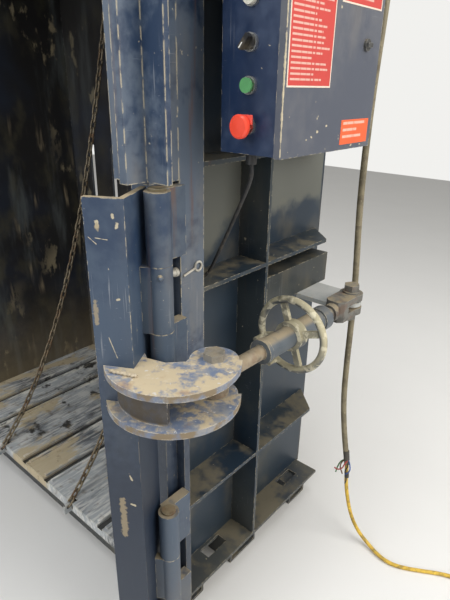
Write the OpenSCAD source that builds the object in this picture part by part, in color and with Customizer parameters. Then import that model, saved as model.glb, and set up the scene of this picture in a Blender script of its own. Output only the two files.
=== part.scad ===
// Vertical recycling baler with a turnbuckle door latch, in millimetres.
// The machine's front is -Y and its right side is +X; it stands on z = 0.

/* [Chamber] */
// Inner width of the bale chamber
chamber_w = 1314; // [1200:2:1400]
// Front edge of the chamber floor, in front of the centre line
chamber_front = 370; // [340:2:400]
// Inner face of the back wall, behind the centre line
chamber_back = 350; // [330:2:400]
// Thickness of the chamber walls
wall_t = 10; // [8:1:12]
// Height of the chamber floor
floor_z = 130; // [125:1:150]
// Thickness of the floor plate
floor_t = 12; // [8:1:15]
// Top of the frame's side walls
wall_top = 2200; // [2150:10:2400]
// Width of a wire slot
slot_w = 26; // [16:1:32]

/* [Side frame] */
// Depth of the ribs that stiffen the walls
rib_d = 91; // [80:1:110]
// Thickness of the ribs
rib_t = 10; // [8:1:12]
// Height of the base rails under the frame
rail_h = 90; // [80:1:95]
// Width of a base rail
rail_w = 100; // [60:1:120]
// Wall of the corner posts
post_wall = 8; // [5:1:10]

/* [Door and latch] */
// Top of the bale door
door_top = 1250; // [1200:5:1255]
// Thickness of the bale door over its frame
door_t = 109; // [90:1:112]
// How far the door stands open at rest, in degrees
door_open = 105; // [90:1:110]
// How far the latch bar stands open at rest, in degrees
latch_open = 30; // [20:1:32]
// Distance of the hinge axes from the centre line
hinge_x = 781; // [781:1:790]
// Outer radius of the hinge knuckles
knuckle_r = 25; // [20:0.5:26]
// Radius of the hinge pins
pin_r = 11; // [8:0.5:14]
// Thickness of the latch bar's plates
bar_t = 12; // [8:1:14]
// Top of the latch bar
bar_top = 1270; // [1262:1:1276]

/* [Turnbuckle] */
// Height of the turnbuckle's centre line
screw_z = 895; // [880:1:905]
// Outer radius of the threaded sleeve
sleeve_r = 27; // [25:0.5:30]
// Radius of the two threaded rods
rod_r = 17; // [14:0.5:18]
// Length of the sleeve
sleeve_l = 262; // [240:2:280]
// Radius of the handwheel's rim, to the middle of its bar
wheel_r = 90; // [80:1:92]
// Radius of the handwheel's rim bar
rim_r = 9; // [7:0.5:10]
// Thickness of the jaw plates
jaw_t = 14; // [10:1:16]

/* [Ram] */
// Underside of the raised platen
platen_z = 1850; // [1820:5:1900]
// Height of the platen
platen_h = 190; // [160:5:210]
// Radius of the piston rod
ram_r = 40; // [30:1:45]
// Outer radius of the cylinder
barrel_r = 85; // [70:1:95]
// Height of the cylinder above its flange
barrel_l = 1240; // [1240:10:1400]

/* [Chains] */
// Wire diameter of a chain link
chain_wire = 7; // [5:0.5:8]
// Inner length of a chain link
chain_pitch = 28; // [26:0.5:32]
// Distance of the ejector chains from the centre line
chain_x = 226; // [210:1:240]

/* [Control box] */
// Width of the control box, along X
box_w = 133; // [121:2:151]
// Depth of the control box, along Y
box_d = 324; // [310:2:360]
// Height of the control box
box_h = 406; // [380:2:450]
// Underside of the control box
box_z = 1335; // [1325:1:1360]
// Sheet thickness of the control box
sheet_t = 2; // [1.5:0.5:3]
// Radius of the push-button bezels
bezel_r = 14.5; // [12:0.5:16]

/* [Cords] */
// Radius of the control cable
control_r = 4; // [3:0.5:5]
// Radius of the grey supply cable
supply_r = 9; // [7:0.5:10]
// Radius of the yellow lead
lead_r = 6; // [5:0.5:8]

/* [Hidden] */
$fn = 48;
e = 0.3;
hw = chamber_w / 2;
wall_o = hw + wall_t;
rib_o = wall_o + rib_d;
yf = -chamber_front;
yb = chamber_back;
blue = "#2c3f63";
deep_blue = "#233454";
dust = "#a8905f";
bare = "#9a9484";
olive = "#8d8560";
grime = "#3a3529";

// Box from its low corner to its high corner
module slab(a, b) { translate(a) cube(b - a); }

// Copies its children on the other side of the machine
module mirrored() { mirror([1, 0, 0]) children(); }

// Hexagon prism with its axis along Z
module hex(flats, h) { cylinder(r = flats / sqrt(3), h = h, $fn = 6); }

// Tube with its axis along Z
module tube(ro, ri, h) {
    difference() {
        cylinder(r = ro, h = h);
        translate([0, 0, -1]) cylinder(r = ri, h = h + 2);
    }
}

// Base, floor and walls

rails = [[-350, -350 + rail_w], [-120, 10], [320 - rail_w, 320]];
rail_end = 725;

module base_rails() color(deep_blue)
    for (r = rails) difference() {
        slab([-rail_end, r[0], 0], [rail_end, r[1], rail_h]);
        slab([-rail_end - 1, r[0] + 8, 8], [rail_end + 1, r[1] - 8, rail_h - 8]);
    }

slot_pairs = [-440, 0, 465];
slot_half = 74;
slot_xs = [for (c = slot_pairs, s = [-1, 1]) c + s * slot_half];
floor_slot_end = yb - 30;
lip_h = 38;

module chamber_floor() color(grime) difference() {
    union() {
        slab([-hw, yf, floor_z - floor_t], [hw, yb, floor_z]);
        slab([-hw, yf - floor_t, floor_z - lip_h], [hw, yf, floor_z]);
        for (y = [-300, -70, 270]) slab([-hw, y - 5, rail_h], [hw, y + 5, floor_z - floor_t]);
    }
    for (x = slot_xs) slab([x - slot_w / 2, yf - floor_t - 1, floor_z - floor_t + 4],
                           [x + slot_w / 2, floor_slot_end, floor_z + 1]);
    // Notches where the chains come over the front edge
    for (x = [-chain_x, chain_x]) slab([x - 14, yf - floor_t - 1, floor_z - 26], [x + 14, yf + 14, floor_z + 1]);
}

// Pale worn strips that stand along both sides of each wire slot
strip_w = 16;
strip_h = 6;
module floor_slot_channels() color(bare) for (x = slot_xs, s = [-1, 1])
    translate([x + s * (slot_w / 2 + strip_w / 2), 0, floor_z])
        rotate([90, 0, 0]) translate([0, 0, -floor_slot_end]) linear_extrude(floor_slot_end - yf)
            polygon([[-strip_w / 2, 0], [strip_w / 2, 0], [strip_w / 2 - 3, strip_h], [-strip_w / 2 + 3, strip_h]]);

module side_wall() slab([hw, -354, rail_h + rib_t], [wall_o, yb, wall_top]);
module right_wall() color(blue) side_wall();
module left_wall() color(blue) mirrored() side_wall();

back_slot_w = 30;
back_slot_top = door_top - 60;
module back_wall() color(grime) difference() {
    slab([-wall_o, yb, rail_h], [wall_o, yb + wall_t, wall_top]);
    for (x = slot_xs) slab([x - back_slot_w / 2, yb - 1, floor_z + 40], [x + back_slot_w / 2, yb + wall_t + 1, back_slot_top]);
}

// Shelves, uprights and the bottom flange of a side frame

shelf_zs = [420, 1022, 1295, 1640, 2000];
upright_y = -45;
post_front = -354;
post_back = -283;
low_post_back = -335;
low_post_top = 850;
shelf_back = 343;
hole_w = [[-214, -130], [190, 277]];
beam_z = [900, 988];
beam_front = upright_y + rib_t / 2;

module shelf(z) {
    y0 = z < low_post_top ? low_post_back : post_back;
    slab([wall_o, y0, z], [rib_o, shelf_back, z + rib_t]);
}

module side_ribs() {
    for (z = shelf_zs) shelf(z);
    difference() {
        slab([wall_o, post_front, rail_h], [rib_o, shelf_back, rail_h + rib_t]);
        for (h = hole_w) slab([wall_o + 10, h[0], rail_h - 1], [wall_o + 46, h[1], rail_h + rib_t + 1]);
    }
    stops = concat([rail_h], shelf_zs, [wall_top - 90]);
    for (i = [0 : len(stops) - 2])
        difference() {
            slab([wall_o, upright_y - rib_t / 2, stops[i] + rib_t], [rib_o, upright_y + rib_t / 2, stops[i + 1]]);
        }
    slab([wall_o, post_back, wall_top - 90], [rib_o, shelf_back, wall_top - 90 + rib_t]);
}

module right_ribs() color(blue) side_ribs();
module left_ribs() color(blue) mirrored() side_ribs();

module back_ribs() color(blue) for (z = [140, 500, 860, 1220, 1700, 2080])
    difference() {
        slab([-wall_o, yb + wall_t, z], [wall_o, yb + wall_t + 80, z + 80]);
        slab([-wall_o - 1, yb + wall_t + 8, z + 8], [wall_o + 1, yb + wall_t + 81, z + 72]);
    }

module hollow(a, b, w) difference() {
    slab(a, b);
    slab(a + [w, w, -1], b - [w, w, -1]);
}

module side_post() {
    hollow([wall_o, post_front, low_post_top], [rib_o, post_back, wall_top], post_wall);
    hollow([wall_o, post_front, rail_h + rib_t], [rib_o, low_post_back, low_post_top], 6);
    slab([wall_o, post_front, low_post_top - 10], [rib_o, post_back, low_post_top]);
}
module right_post() color(blue) side_post();
module left_post() color(blue) mirrored() side_post();

// Door jamb below and the deeper gate jamb above

jamb_front = -390;
jamb_o = wall_o + 66;
jamb_top = 1276;
gate_jamb_front = -431;

module side_jamb() {
    hollow([hw, jamb_front, rail_h + rib_t], [jamb_o, post_front, jamb_top], 8);
    hollow([hw, gate_jamb_front, jamb_top], [rib_o, post_front, wall_top + 350], 8);
    slab([hw, gate_jamb_front, jamb_top], [rib_o, post_front, jamb_top + 8]);
}
module right_jamb() color(blue) side_jamb();
module left_jamb() color(blue) mirrored() side_jamb();

guide_z = 1285;
guide_top = wall_top + 350;
lip_x = [748, 768];
module side_gate_guide() {
    slab([lip_x[0], -489, guide_z], [lip_x[1], -479, guide_top]);
    slab([lip_x[0] + 10, -479, guide_z], [lip_x[1], gate_jamb_front - 12, guide_top]);
    slab([rib_o, gate_jamb_front - 12, guide_z], [821, gate_jamb_front, guide_top]);
    slab([lip_x[0] - 60, gate_jamb_front - 12, guide_z], [rib_o, gate_jamb_front, guide_top]);
}
module right_gate_guide() color(blue) side_gate_guide();
module left_gate_guide() color(blue) mirrored() side_gate_guide();

module front_header() color(blue) {
    slab([-hw, yf, 1880], [hw, yf + 10, wall_top]);
    difference() {
        slab([-hw, yf - 50, 1880], [hw, yf, 1960]);
        slab([-hw - 1, yf - 42, 1888], [hw + 1, yf + 1, 1952]);
    }
}

// Top frame that carries the cylinder

beam_h = 150;
plate_t = 30;
plate_z = wall_top + beam_h;
module top_frame() color(deep_blue) {
    for (y = [-170, 70]) difference() {
        slab([-rib_o, y, wall_top], [rib_o, y + 100, plate_z]);
        slab([-rib_o - 1, y + 8, wall_top + 8], [rib_o + 1, y + 92, plate_z - 8]);
    }
    for (s = [-1, 1]) slab([s > 0 ? wall_o : -rib_o, 170, wall_top], [s > 0 ? rib_o : -wall_o, yb, wall_top + 60]);
    difference() {
        slab([-200, -170, plate_z], [200, 170, plate_z + plate_t]);
        translate([0, 0, plate_z - 1]) cylinder(r = ram_r + 28, h = plate_t + 2);
    }
    slab([280, -170, plate_z], [720, 170, plate_z + 10]);
}

// Turnbuckle bracket on the right side

pivot_b = [895, 170];
pivot_a = [881, -385];
bolt_r = 10;
bracket_t = 12;
module screw_beam() color(blue) difference() {
    slab([wall_o, beam_front, beam_z[0]], [rib_o, shelf_back, beam_z[1]]);
    slab([wall_o - 1, beam_front - 1, beam_z[0] + 8], [rib_o - 8, shelf_back + 1, beam_z[1] - 8]);
}

module screw_bracket() color(blue) translate([0, 0, screw_z - bracket_t / 2]) difference() {
    union() {
        linear_extrude(bracket_t) polygon([[rib_o, 108], [rib_o, 225], [850, 225], [pivot_b[0] + 14, 196],
            [pivot_b[0] + 14, 144], [850, 108]]);
        translate([pivot_b[0], pivot_b[1], 0]) cylinder(r = 30, h = bracket_t);
    }
    translate([pivot_b[0], pivot_b[1], -1]) cylinder(r = bolt_r + 0.05, h = bracket_t + 2);
}

// Latch bar on its hinge, written closed and turned open by latch_pose

hinge_y = -432;
hinge = [hinge_x, hinge_y];
bar_face = -81;
bar_side = -33;
bar_left = -109;
bar_deep = 36;
bar_bottom = 150;
knuckle_h = 140;
knuckle_gap = 0.6;
upper_knuckles = [bar_top - knuckle_h, bar_top - 2 * knuckle_h - knuckle_gap, bar_top - 3 * knuckle_h - 2 * knuckle_gap];
lower_knuckles = [364, 364 - knuckle_h - knuckle_gap, 364 - 2 * knuckle_h + 30 - 2 * knuckle_gap];

module latch_pose() { translate(hinge) rotate(latch_open) children(); }

// One hinge knuckle with a leaf that reaches back to the post
module frame_knuckle(z, h) translate([hinge_x, hinge_y, z]) difference() {
    union() {
        cylinder(r = knuckle_r, h = h);
        slab([-31, 0, 0], [-6, post_front - hinge_y, h]);
    }
    translate([0, 0, -1]) cylinder(r = pin_r + 0.05, h = h + 2);
}

module latch_frame_knuckles() color(blue) {
    frame_knuckle(upper_knuckles[0], knuckle_h);
    frame_knuckle(upper_knuckles[2], knuckle_h);
    frame_knuckle(lower_knuckles[0], knuckle_h);
    frame_knuckle(lower_knuckles[2], knuckle_h - 30);
}

module latch_pins() color(bare) for (z = [[upper_knuckles[2], bar_top], [lower_knuckles[2], lower_knuckles[0] + knuckle_h]])
    translate([hinge_x, hinge_y, z[0]]) {
        cylinder(r = pin_r, h = z[1] - z[0]);
        translate([0, 0, z[1] - z[0]]) cylinder(r = 17, h = 6);
        translate([0, 0, -5]) cylinder(r = 16, h = 5);
    }

module latch_bar() color(blue) latch_pose() {
    translate([0, 0, bar_bottom]) linear_extrude(bar_top - bar_bottom)
        polygon([[bar_left, bar_face], [bar_side, bar_face], [bar_side, bar_deep], [bar_side - bar_t, bar_deep],
                 [bar_side - bar_t, bar_face + bar_t], [bar_left, bar_face + bar_t]]);
    translate([0, 0, bar_top - 18]) linear_extrude(10)
        polygon([[bar_left + 14, bar_face + bar_t], [bar_side - bar_t, bar_face + bar_t], [bar_side - bar_t, bar_face + 42]]);
}

module latch_bar_knuckles() color(blue) latch_pose()
    for (z = [upper_knuckles[1], lower_knuckles[1]]) translate([0, 0, z]) difference() {
        union() {
            cylinder(r = knuckle_r, h = knuckle_h);
            slab([bar_side, -22, 0], [-8, -4, knuckle_h]);
        }
        translate([0, 0, -1]) cylinder(r = pin_r + 0.05, h = knuckle_h + 2);
    }

jaw_gap = 66;
jaw_c = [30, -24];
jaw_r = 138;
// Pivot A seen from the hinge with the bar closed
arm_a = [cos(latch_open) * (pivot_a[0] - hinge_x) + sin(latch_open) * (pivot_a[1] - hinge_y),
         -sin(latch_open) * (pivot_a[0] - hinge_x) + cos(latch_open) * (pivot_a[1] - hinge_y)];

module jaw_outline() difference() {
    union() {
        intersection() {
            translate(jaw_c) circle(r = jaw_r, $fn = 96);
            polygon([[-130, bar_face], [bar_side, bar_face], [bar_side, -18], [-22, -36], [20, -46], [58, -33],
                     [arm_a[0] - 40, arm_a[1] + 24], arm_a, [200, arm_a[1] + 10], [200, -200], [-130, -200]]);
        }
        translate(arm_a) circle(r = 50);
    }
    circle(r = knuckle_r + 6);
    translate(arm_a) circle(r = bolt_r + 0.05);
}
module jaw(z) latch_pose() translate([0, 0, z]) linear_extrude(jaw_t) jaw_outline();
module upper_jaw() color(dust) jaw(screw_z + jaw_gap / 2);
module lower_jaw() color(dust) { jaw(screw_z - jaw_gap / 2 - jaw_t); jaw_web(); }
module jaw_web() latch_pose() translate([0, 0, screw_z - jaw_gap / 2])
    linear_extrude(jaw_gap) intersection() {
        translate(jaw_c) difference() { circle(r = jaw_r - 22); circle(r = jaw_r - 34); }
        polygon([[-130, bar_face], [bar_side, bar_face], [bar_side, -100], [50, -100], [50, -200], [-130, -200]]);
    }

jaw_top = screw_z + jaw_gap / 2 + jaw_t;
jaw_bottom = screw_z - jaw_gap / 2 - jaw_t;
module jaw_bolt() { jaw_bolt_shank(); jaw_nut(); }
module jaw_bolt_shank() color(bare) translate([pivot_a[0], pivot_a[1], 0]) {
    translate([0, 0, jaw_top]) hex(40, 16);
    translate([0, 0, jaw_bottom - 22]) cylinder(r = bolt_r, h = jaw_top - jaw_bottom + 22);
}
module jaw_nut() color(bare) translate([pivot_a[0], pivot_a[1], jaw_bottom - 18]) difference() {
    hex(36, 18);
    translate([0, 0, -1]) cylinder(r = bolt_r + 0.05, h = 20);
}

// Turnbuckle between pivots A and B, drawn along -Y from B

screw_dx = pivot_a[0] - pivot_b[0];
screw_dy = pivot_a[1] - pivot_b[1];
screw_l = sqrt(screw_dx * screw_dx + screw_dy * screw_dy);
screw_turn = atan2(screw_dx, -screw_dy);
sleeve_y = -141;
wheel_y = -283;
eye_h = jaw_gap - 6;
thread_gap = 0.3;

module screw_pose() { translate([pivot_b[0], pivot_b[1], screw_z]) rotate(screw_turn) children(); }
// Cylinder along -Y from y, in the screw's frame
module rod(y, l, r) { translate([0, y, 0]) rotate([90, 0, 0]) cylinder(r = r, h = l); }

module eye_rod() color(dust) screw_pose() {
    difference() {
        union() {
            translate([0, -screw_l, -eye_h / 2]) cylinder(r = 31, h = eye_h);
            rod(-250, screw_l - 276, rod_r);
            rod(-screw_l + 58, 34, 23);
        }
        translate([0, -screw_l, -eye_h / 2 - 1]) cylinder(r = bolt_r + 4, h = eye_h + 2);
    }
}

module screw_sleeve() color(blue) screw_pose() difference() {
    union() {
        rod(sleeve_y, sleeve_l, sleeve_r);
        rod(sleeve_y, 30, sleeve_r + 5);
        rod(sleeve_y - sleeve_l + 12, 12, sleeve_r + 3);
    }
    rod(sleeve_y + 1, sleeve_l + 2, rod_r + thread_gap);
}

// the flat spokes are bars of their own, seated against the hub and the rim
hub_t = 10;
spoke_w = 16;
spoke_seat = 0.3;
spoke_start = sleeve_r + hub_t + spoke_seat;
spoke_end = sqrt(pow(wheel_r - rim_r, 2) - pow(spoke_w / 2, 2)) - spoke_seat;
module handwheel() color(olive) screw_pose() translate([0, wheel_y, 0]) rotate([90, 0, 0]) {
    rotate_extrude($fn = 72) translate([wheel_r, 0]) circle(r = rim_r, $fn = 24);
    difference() {
        translate([0, 0, -15]) cylinder(r = sleeve_r + hub_t, h = 30);
        translate([0, 0, -16]) cylinder(r = sleeve_r + e / 3, h = 32);
    }
    for (a = [20 : 90 : 290]) rotate(a) translate([spoke_start, -spoke_w / 2, -5]) cube([spoke_end - spoke_start, spoke_w, 10]);
    for (a = [200, 245]) rotate(a) translate([wheel_r, 0, rim_r - 2]) cylinder(r = 6, h = 26);
}

fork_gap = 20;
fork_t = 19;
module fork_rod() color(dust) screw_pose() difference() {
    union() {
        rod(-88, 150, rod_r);
        rod(-74, 40, 24);
        for (s = [-1, 1]) translate([0, 0, s * (fork_gap + fork_t) / 2 - fork_t / 2]) {
            cylinder(r = 32, h = fork_t);
            slab([-28, -78, 0], [28, 0, fork_t]);
        }
        slab([-28, -94, -fork_gap / 2 - fork_t], [28, -58, fork_gap / 2 + fork_t]);
    }
    translate([0, 0, -60]) cylinder(r = bolt_r + 0.05, h = 120);
    for (s = [-1, 1]) translate([s * 28, -94, -60]) rotate(45) translate([-9, -9, 0]) cube([18, 18, 120]);
}

fork_top = screw_z + fork_gap / 2 + fork_t;
fork_bottom = screw_z - fork_gap / 2 - fork_t;
module bracket_bolt() { bracket_bolt_shank(); bracket_nut(); }
module bracket_bolt_shank() color(bare) translate([pivot_b[0], pivot_b[1], 0]) {
    translate([0, 0, fork_top]) cylinder(r = 24, h = 5);
    translate([0, 0, fork_top + 5]) hex(38, 18);
    translate([0, 0, fork_bottom - 26]) cylinder(r = bolt_r, h = fork_top - fork_bottom + 26);
}
module bracket_nut() color(bare) translate([pivot_b[0], pivot_b[1], fork_bottom - 20]) difference() {
    hex(36, 20);
    translate([0, 0, -1]) cylinder(r = bolt_r + 0.05, h = 22);
}

// Greasing point on the upper hinge, and a fitting with a ringed pin on the post
module bar_nipple() color(bare) latch_pose() translate([0, 0, upper_knuckles[1] + 122]) rotate(18)
    translate([0, -knuckle_r, 0]) rotate([90, 0, 0]) {
        cylinder(r = 5, h = 6);
        translate([0, 0, 6]) sphere(r = 5);
    }

ring_r = 10;
ring_wire = 2.5;
pin_l = 36;
fitting_z = upper_knuckles[1] + 96;
module post_fitting() color("#cfc9a4") {
    translate([rib_o - 12, post_front, fitting_z]) rotate([90, 0, 0]) {
        cylinder(r = 10, h = 8);
        translate([0, 0, 8]) cylinder(r1 = 9, r2 = 4, h = 16);
    }
    translate([rib_o + ring_wire, post_front + 6, fitting_z - 8]) rotate([14, 0, 0]) {
        rotate([-90, 0, 0]) cylinder(r = ring_wire, h = pin_l);
        translate([0, pin_l + ring_r, 0]) rotate([0, 90, 0]) rotate_extrude($fn = 48) translate([ring_r, 0]) circle(r = ring_wire, $fn = 16);
    }
}

// Bale door on the left post, written closed and turned open by door_pose

door_hinge = [-hinge_x, hinge_y];
door_right = 715;
door_left = -737;
door_bottom = 140;
door_back = -391;
door_rib_zs = [200, 440, 680, 920, 1150];

module door_pose() { translate(door_hinge) rotate(-door_open) translate(-door_hinge) children(); }

module bale_door() color(blue) door_pose() {
    slab([door_left, door_back - 12, door_bottom], [door_right, door_back, door_top]);
    for (x = [door_left, door_right - 12]) slab([x, door_back - door_t, door_bottom], [x + 12, door_back - 12, door_top]);
    for (z = [door_bottom, door_top - 12]) slab([door_left + 12, door_back - door_t, z], [door_right - 12, door_back - 12, z + 12]);
}

module door_ribs() color(blue) door_pose() for (z = door_rib_zs) difference() {
    slab([door_left + 12, door_back - door_t + 6, z], [door_right - 12, door_back - 12, z + 70]);
    slab([door_left + 11, door_back - door_t + 14, z + 8], [door_right - 11, door_back - 11, z + 62]);
}

door_knuckle_zs = [240, 640, 1040];
module door_hinge_knuckles() color(blue) door_pose() for (z = door_knuckle_zs)
    translate([door_hinge[0], door_hinge[1], z]) difference() {
        union() {
            cylinder(r = knuckle_r, h = 90);
            slab([14, -9, 0], [door_left - door_hinge[0], 9, 90]);
        }
        translate([0, 0, -1]) cylinder(r = pin_r + 0.05, h = 92);
    }

module door_frame_knuckles() color(blue) for (z = door_knuckle_zs)
    translate([door_hinge[0], door_hinge[1], z]) {
        for (k = [-91, 91]) translate([0, 0, k]) {
            cylinder(r = knuckle_r, h = 90);
            slab([6, 0, 0], [31, post_front - hinge_y, 90]);
        }
        translate([0, 0, -5]) cylinder(r = pin_r, h = 100);
    }

// Feed gate in its guides

gate_z = 1870;
gate_h = 610;
gate_hw = lip_x[0] + 9.6;
module feed_gate() color(blue) {
    slab([-gate_hw, -475, gate_z], [gate_hw, -467, gate_z + gate_h]);
    for (z = [gate_z, gate_z + gate_h - 40]) slab([-gate_hw + 10, -467, z], [gate_hw - 10, -447, z + 40]);
    for (x = [-gate_hw + 10, -20, gate_hw - 50]) slab([x, -467, gate_z + 40], [x + 40, -447, gate_z + gate_h - 40]);
    for (x = [-150, 150]) slab([x - 6, -519, gate_z + 60], [x + 6, -475, gate_z + 84]);
    slab([-156, -531, gate_z + 60], [156, -519, gate_z + 84]);
}

// Platen and ram

platen_gap = 7;
module platen() color(deep_blue) {
    difference() {
        slab([-hw + platen_gap, yf + 18, platen_z], [hw - platen_gap, yb - platen_gap, platen_z + 20]);
        for (x = slot_xs) slab([x - 10, yf + 17, platen_z - 1], [x + 10, yb, platen_z + 12]);
    }
    for (y = [yf + 18, -80, 60, yb - platen_gap - 12])
        slab([-hw + 40, y, platen_z + 20], [hw - 40, y + 12, platen_z + platen_h - 20]);
    for (s = [-1, 1]) slab([s * (hw - 26) - 14, yf + 18, platen_z + 20], [s * (hw - 26) + 14, yb - platen_gap, platen_z + platen_h]);
    slab([-150, -120, platen_z + platen_h - 20], [150, 120, platen_z + platen_h]);
}

ram_bottom = platen_z + platen_h;
flange_z = plate_z + plate_t;
barrel_top = flange_z + barrel_l;
piston_h = 60;
ram_fit = 0.05;
module ram_rod() color("#b9bcc0") translate([0, 0, ram_bottom]) {
    cylinder(r = ram_r, h = barrel_top - 90 - ram_bottom);
    translate([0, 0, 0]) cylinder(r = 70, h = 24);
    translate([0, 0, barrel_top - 90 - ram_bottom - piston_h]) cylinder(r = barrel_r - 12 - 0.3, h = piston_h);
}

module cylinder_turned() {
    rotate_extrude($fn = 72) polygon([[ram_r + ram_fit, 0], [ram_r + 24, 0], [ram_r + 24, plate_t],
        [130, plate_t], [130, plate_t + 28], [barrel_r, plate_t + 28], [barrel_r, plate_t + barrel_l],
        [0, plate_t + barrel_l], [0, plate_t + barrel_l - 24], [barrel_r - 12, plate_t + barrel_l - 24],
        [barrel_r - 12, plate_t + 60], [ram_r + ram_fit, plate_t + 60]]);
}
module cylinder_ports() for (z = [plate_t + 80, plate_t + barrel_l - 70])
    translate([barrel_r - 6, 0, z]) rotate([0, 90, 0]) cylinder(r = 16, h = 34);
module cylinder_bolts() for (a = [45 : 90 : 315]) rotate(a) translate([108, 0, plate_t + 28]) hex(30, 18);
module cylinder_body() { cylinder_turned(); cylinder_ports(); cylinder_bolts(); }

unit_x = 310;
unit_z = plate_z + 10;
tank_h = 260;
module oil_tank() color(blue) {
    difference() {
        slab([unit_x, -160, unit_z], [unit_x + 380, 160, unit_z + tank_h]);
        slab([unit_x + 5, -155, unit_z + 5], [unit_x + 375, 155, unit_z + tank_h - 10]);
    }
    translate([unit_x + 60, 60, unit_z + tank_h]) cylinder(r = 32, h = 50);
    translate([unit_x + 380, supply_route[0][1], supply_route[0][2]]) rotate([0, 90, 0]) cylinder(r = 16, h = supply_route[0][0] - unit_x - 382);
}

motor_r = 95;
motor_z = unit_z + tank_h + motor_r + 5;
module pump_motor() color("#4b5258") {
    translate([unit_x + 190, -140, motor_z]) rotate([-90, 0, 0]) {
        cylinder(r = motor_r - 8, h = 220);
        for (a = [30 : 15 : 150]) rotate(a + 180) translate([motor_r - 10, -2, 10]) cube([10, 4, 190]);
        translate([0, 0, 220]) cylinder(r = 60, h = 60);
        translate([0, 0, -18]) cylinder(r = motor_r - 4, h = 18);
    }
    for (y = [-120, 30]) slab([unit_x + 120, y, unit_z + tank_h], [unit_x + 260, y + 30, unit_z + tank_h + 30]);
    slab([unit_x + 150, 132, unit_z + tank_h], [unit_x + 230, 158, unit_z + tank_h + 60]);
}

// Ejector chains, hung in a catenary from the floor's front lip to the platen

chain_a = 460;
chain_s0 = 440;
chain_step = chain_pitch - e;
chain_n = 65;
chain_start = [-392, 116];
function asinh(t) = ln(t + sqrt(t * t + 1));
function chain_y(s) = chain_a * (asinh((s + chain_s0) / chain_a) - asinh(chain_s0 / chain_a));
function chain_z(s) = sqrt(chain_a * chain_a + (s + chain_s0) * (s + chain_s0)) - sqrt(chain_a * chain_a + chain_s0 * chain_s0);
chain_first = chain_pitch / 2 + chain_wire / 2;
link_w = chain_wire + 9;

module link() {
    straight = chain_pitch + chain_wire - link_w;
    for (s = [0, 180]) rotate(s) {
        translate([0, straight / 2, 0]) rotate_extrude(angle = 180, $fn = 16) translate([link_w / 2, 0]) circle(r = chain_wire / 2, $fn = 16);
        translate([link_w / 2, straight / 2, 0]) rotate([90, 0, 0]) cylinder(r = chain_wire / 2, h = straight, $fn = 16);
    }
}

module chain(x) color(bare) for (i = [0 : chain_n - 1]) {
    s = chain_first + i * chain_step;
    translate([x, chain_start[0] + chain_y(s), chain_start[1] + chain_z(s)])
        rotate([atan((s + chain_s0) / chain_a), 0, 0]) rotate([0, i % 2 * 90, 0]) link();
}
module left_chain() chain(-chain_x);
module right_chain() chain(chain_x);

chain_end_s = 2 * chain_first + (chain_n - 1) * chain_step;
chain_end = [chain_start[0] + chain_y(chain_end_s), chain_start[1] + chain_z(chain_end_s)];
lug_t = 8;
lug_hole = chain_wire / 2 + 3.5;
module floor_lugs() for (x = [-chain_x, chain_x]) {
    translate([x - lug_t / 2, 0, 0]) rotate([90, 0, 90]) linear_extrude(lug_t) difference() {
        union() {
            translate(chain_start) circle(r = 15);
            translate([chain_start[0] - 15, floor_z - lip_h]) square([yf - chain_start[0] + 5, chain_start[1] - floor_z + lip_h]);
        }
        translate(chain_start) circle(r = lug_hole);
    }
}
module platen_lugs() for (x = [-chain_x, chain_x])
    translate([x - lug_t / 2, 0, 0]) rotate([90, 0, 90]) linear_extrude(lug_t) difference() {
        union() {
            translate(chain_end) circle(r = 15);
            translate([chain_end[0] - 15, chain_end[1]]) square([30, platen_z - chain_end[1]]);
        }
        translate(chain_end) circle(r = lug_hole);
    }

// Control box

box_x = 836;
box_y = -321;
door_depth = 14;
door_rise = 2;
module control_box() color(blue) difference() {
    slab([box_x, box_y, box_z], [box_x + box_w - door_depth, box_y + box_d, box_z + box_h]);
    slab([box_x + sheet_t, box_y + sheet_t, box_z + sheet_t],
         [box_x + box_w, box_y + box_d - sheet_t, box_z + box_h - sheet_t]);
    for (z = button_zs) translate([button_x, box_y - 1, z]) rotate([-90, 0, 0]) cylinder(r = 9.1, h = sheet_t + 2);
    translate([gland_x, gland_y, box_z - 1]) cylinder(r = 8.1, h = sheet_t + 2);
}

hinge_pos = [box_x + box_w - door_depth + 2, box_y - 4];
module control_box_door() color(blue) {
    difference() {
        slab([box_x + box_w - door_depth + 0.4, box_y - door_rise, box_z - door_rise],
             [box_x + box_w, box_y + box_d + door_rise, box_z + box_h + door_rise]);
        slab([box_x + box_w - door_depth, box_y - door_rise + sheet_t, box_z - door_rise + sheet_t],
             [box_x + box_w - sheet_t, box_y + box_d + door_rise - sheet_t, box_z + box_h + door_rise - sheet_t]);
        translate([box_x + box_w - sheet_t - 1, lock_y, lock_z]) rotate([0, 90, 0]) cylinder(r = 8.1, h = sheet_t + 2);
    }
}

lock_y = -54;
lock_z = box_z + box_h / 2 - 16;
module door_lock() color("#4a4d52") translate([box_x + box_w, lock_y, lock_z]) rotate([0, 90, 0]) {
    translate([0, 0, -16]) cylinder(r = 8, h = 17);
    cylinder(r = 11, h = 5);
    translate([-4, -9, 5]) cube([8, 18, 5]);
    translate([-6, -5, -13]) cube([12, 22, 3]);
}

module box_bracket() color(deep_blue) for (z = [box_z + 40, box_z + box_h - 80]) {
    slab([rib_o, -200, z], [box_x, -194, z + 40]);
    slab([rib_o, -40 - 6, z], [box_x, -40, z + 40]);
}

module panel_gear() color("#c8c4b8") {
    slab([box_x + sheet_t, box_y + 60, box_z + 50], [box_x + sheet_t + 3, box_y + box_d - 30, box_z + box_h - 50]);
    for (i = [0 : 2]) slab([box_x + sheet_t + 3, box_y + 90 + i * 60, box_z + 240], [box_x + 75, box_y + 135 + i * 60, box_z + 320]);
    slab([box_x + sheet_t + 3, box_y + 90, box_z + 90], [box_x + 45, box_y + 270, box_z + 130]);
}

// Push buttons on the narrow front face of the box

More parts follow.
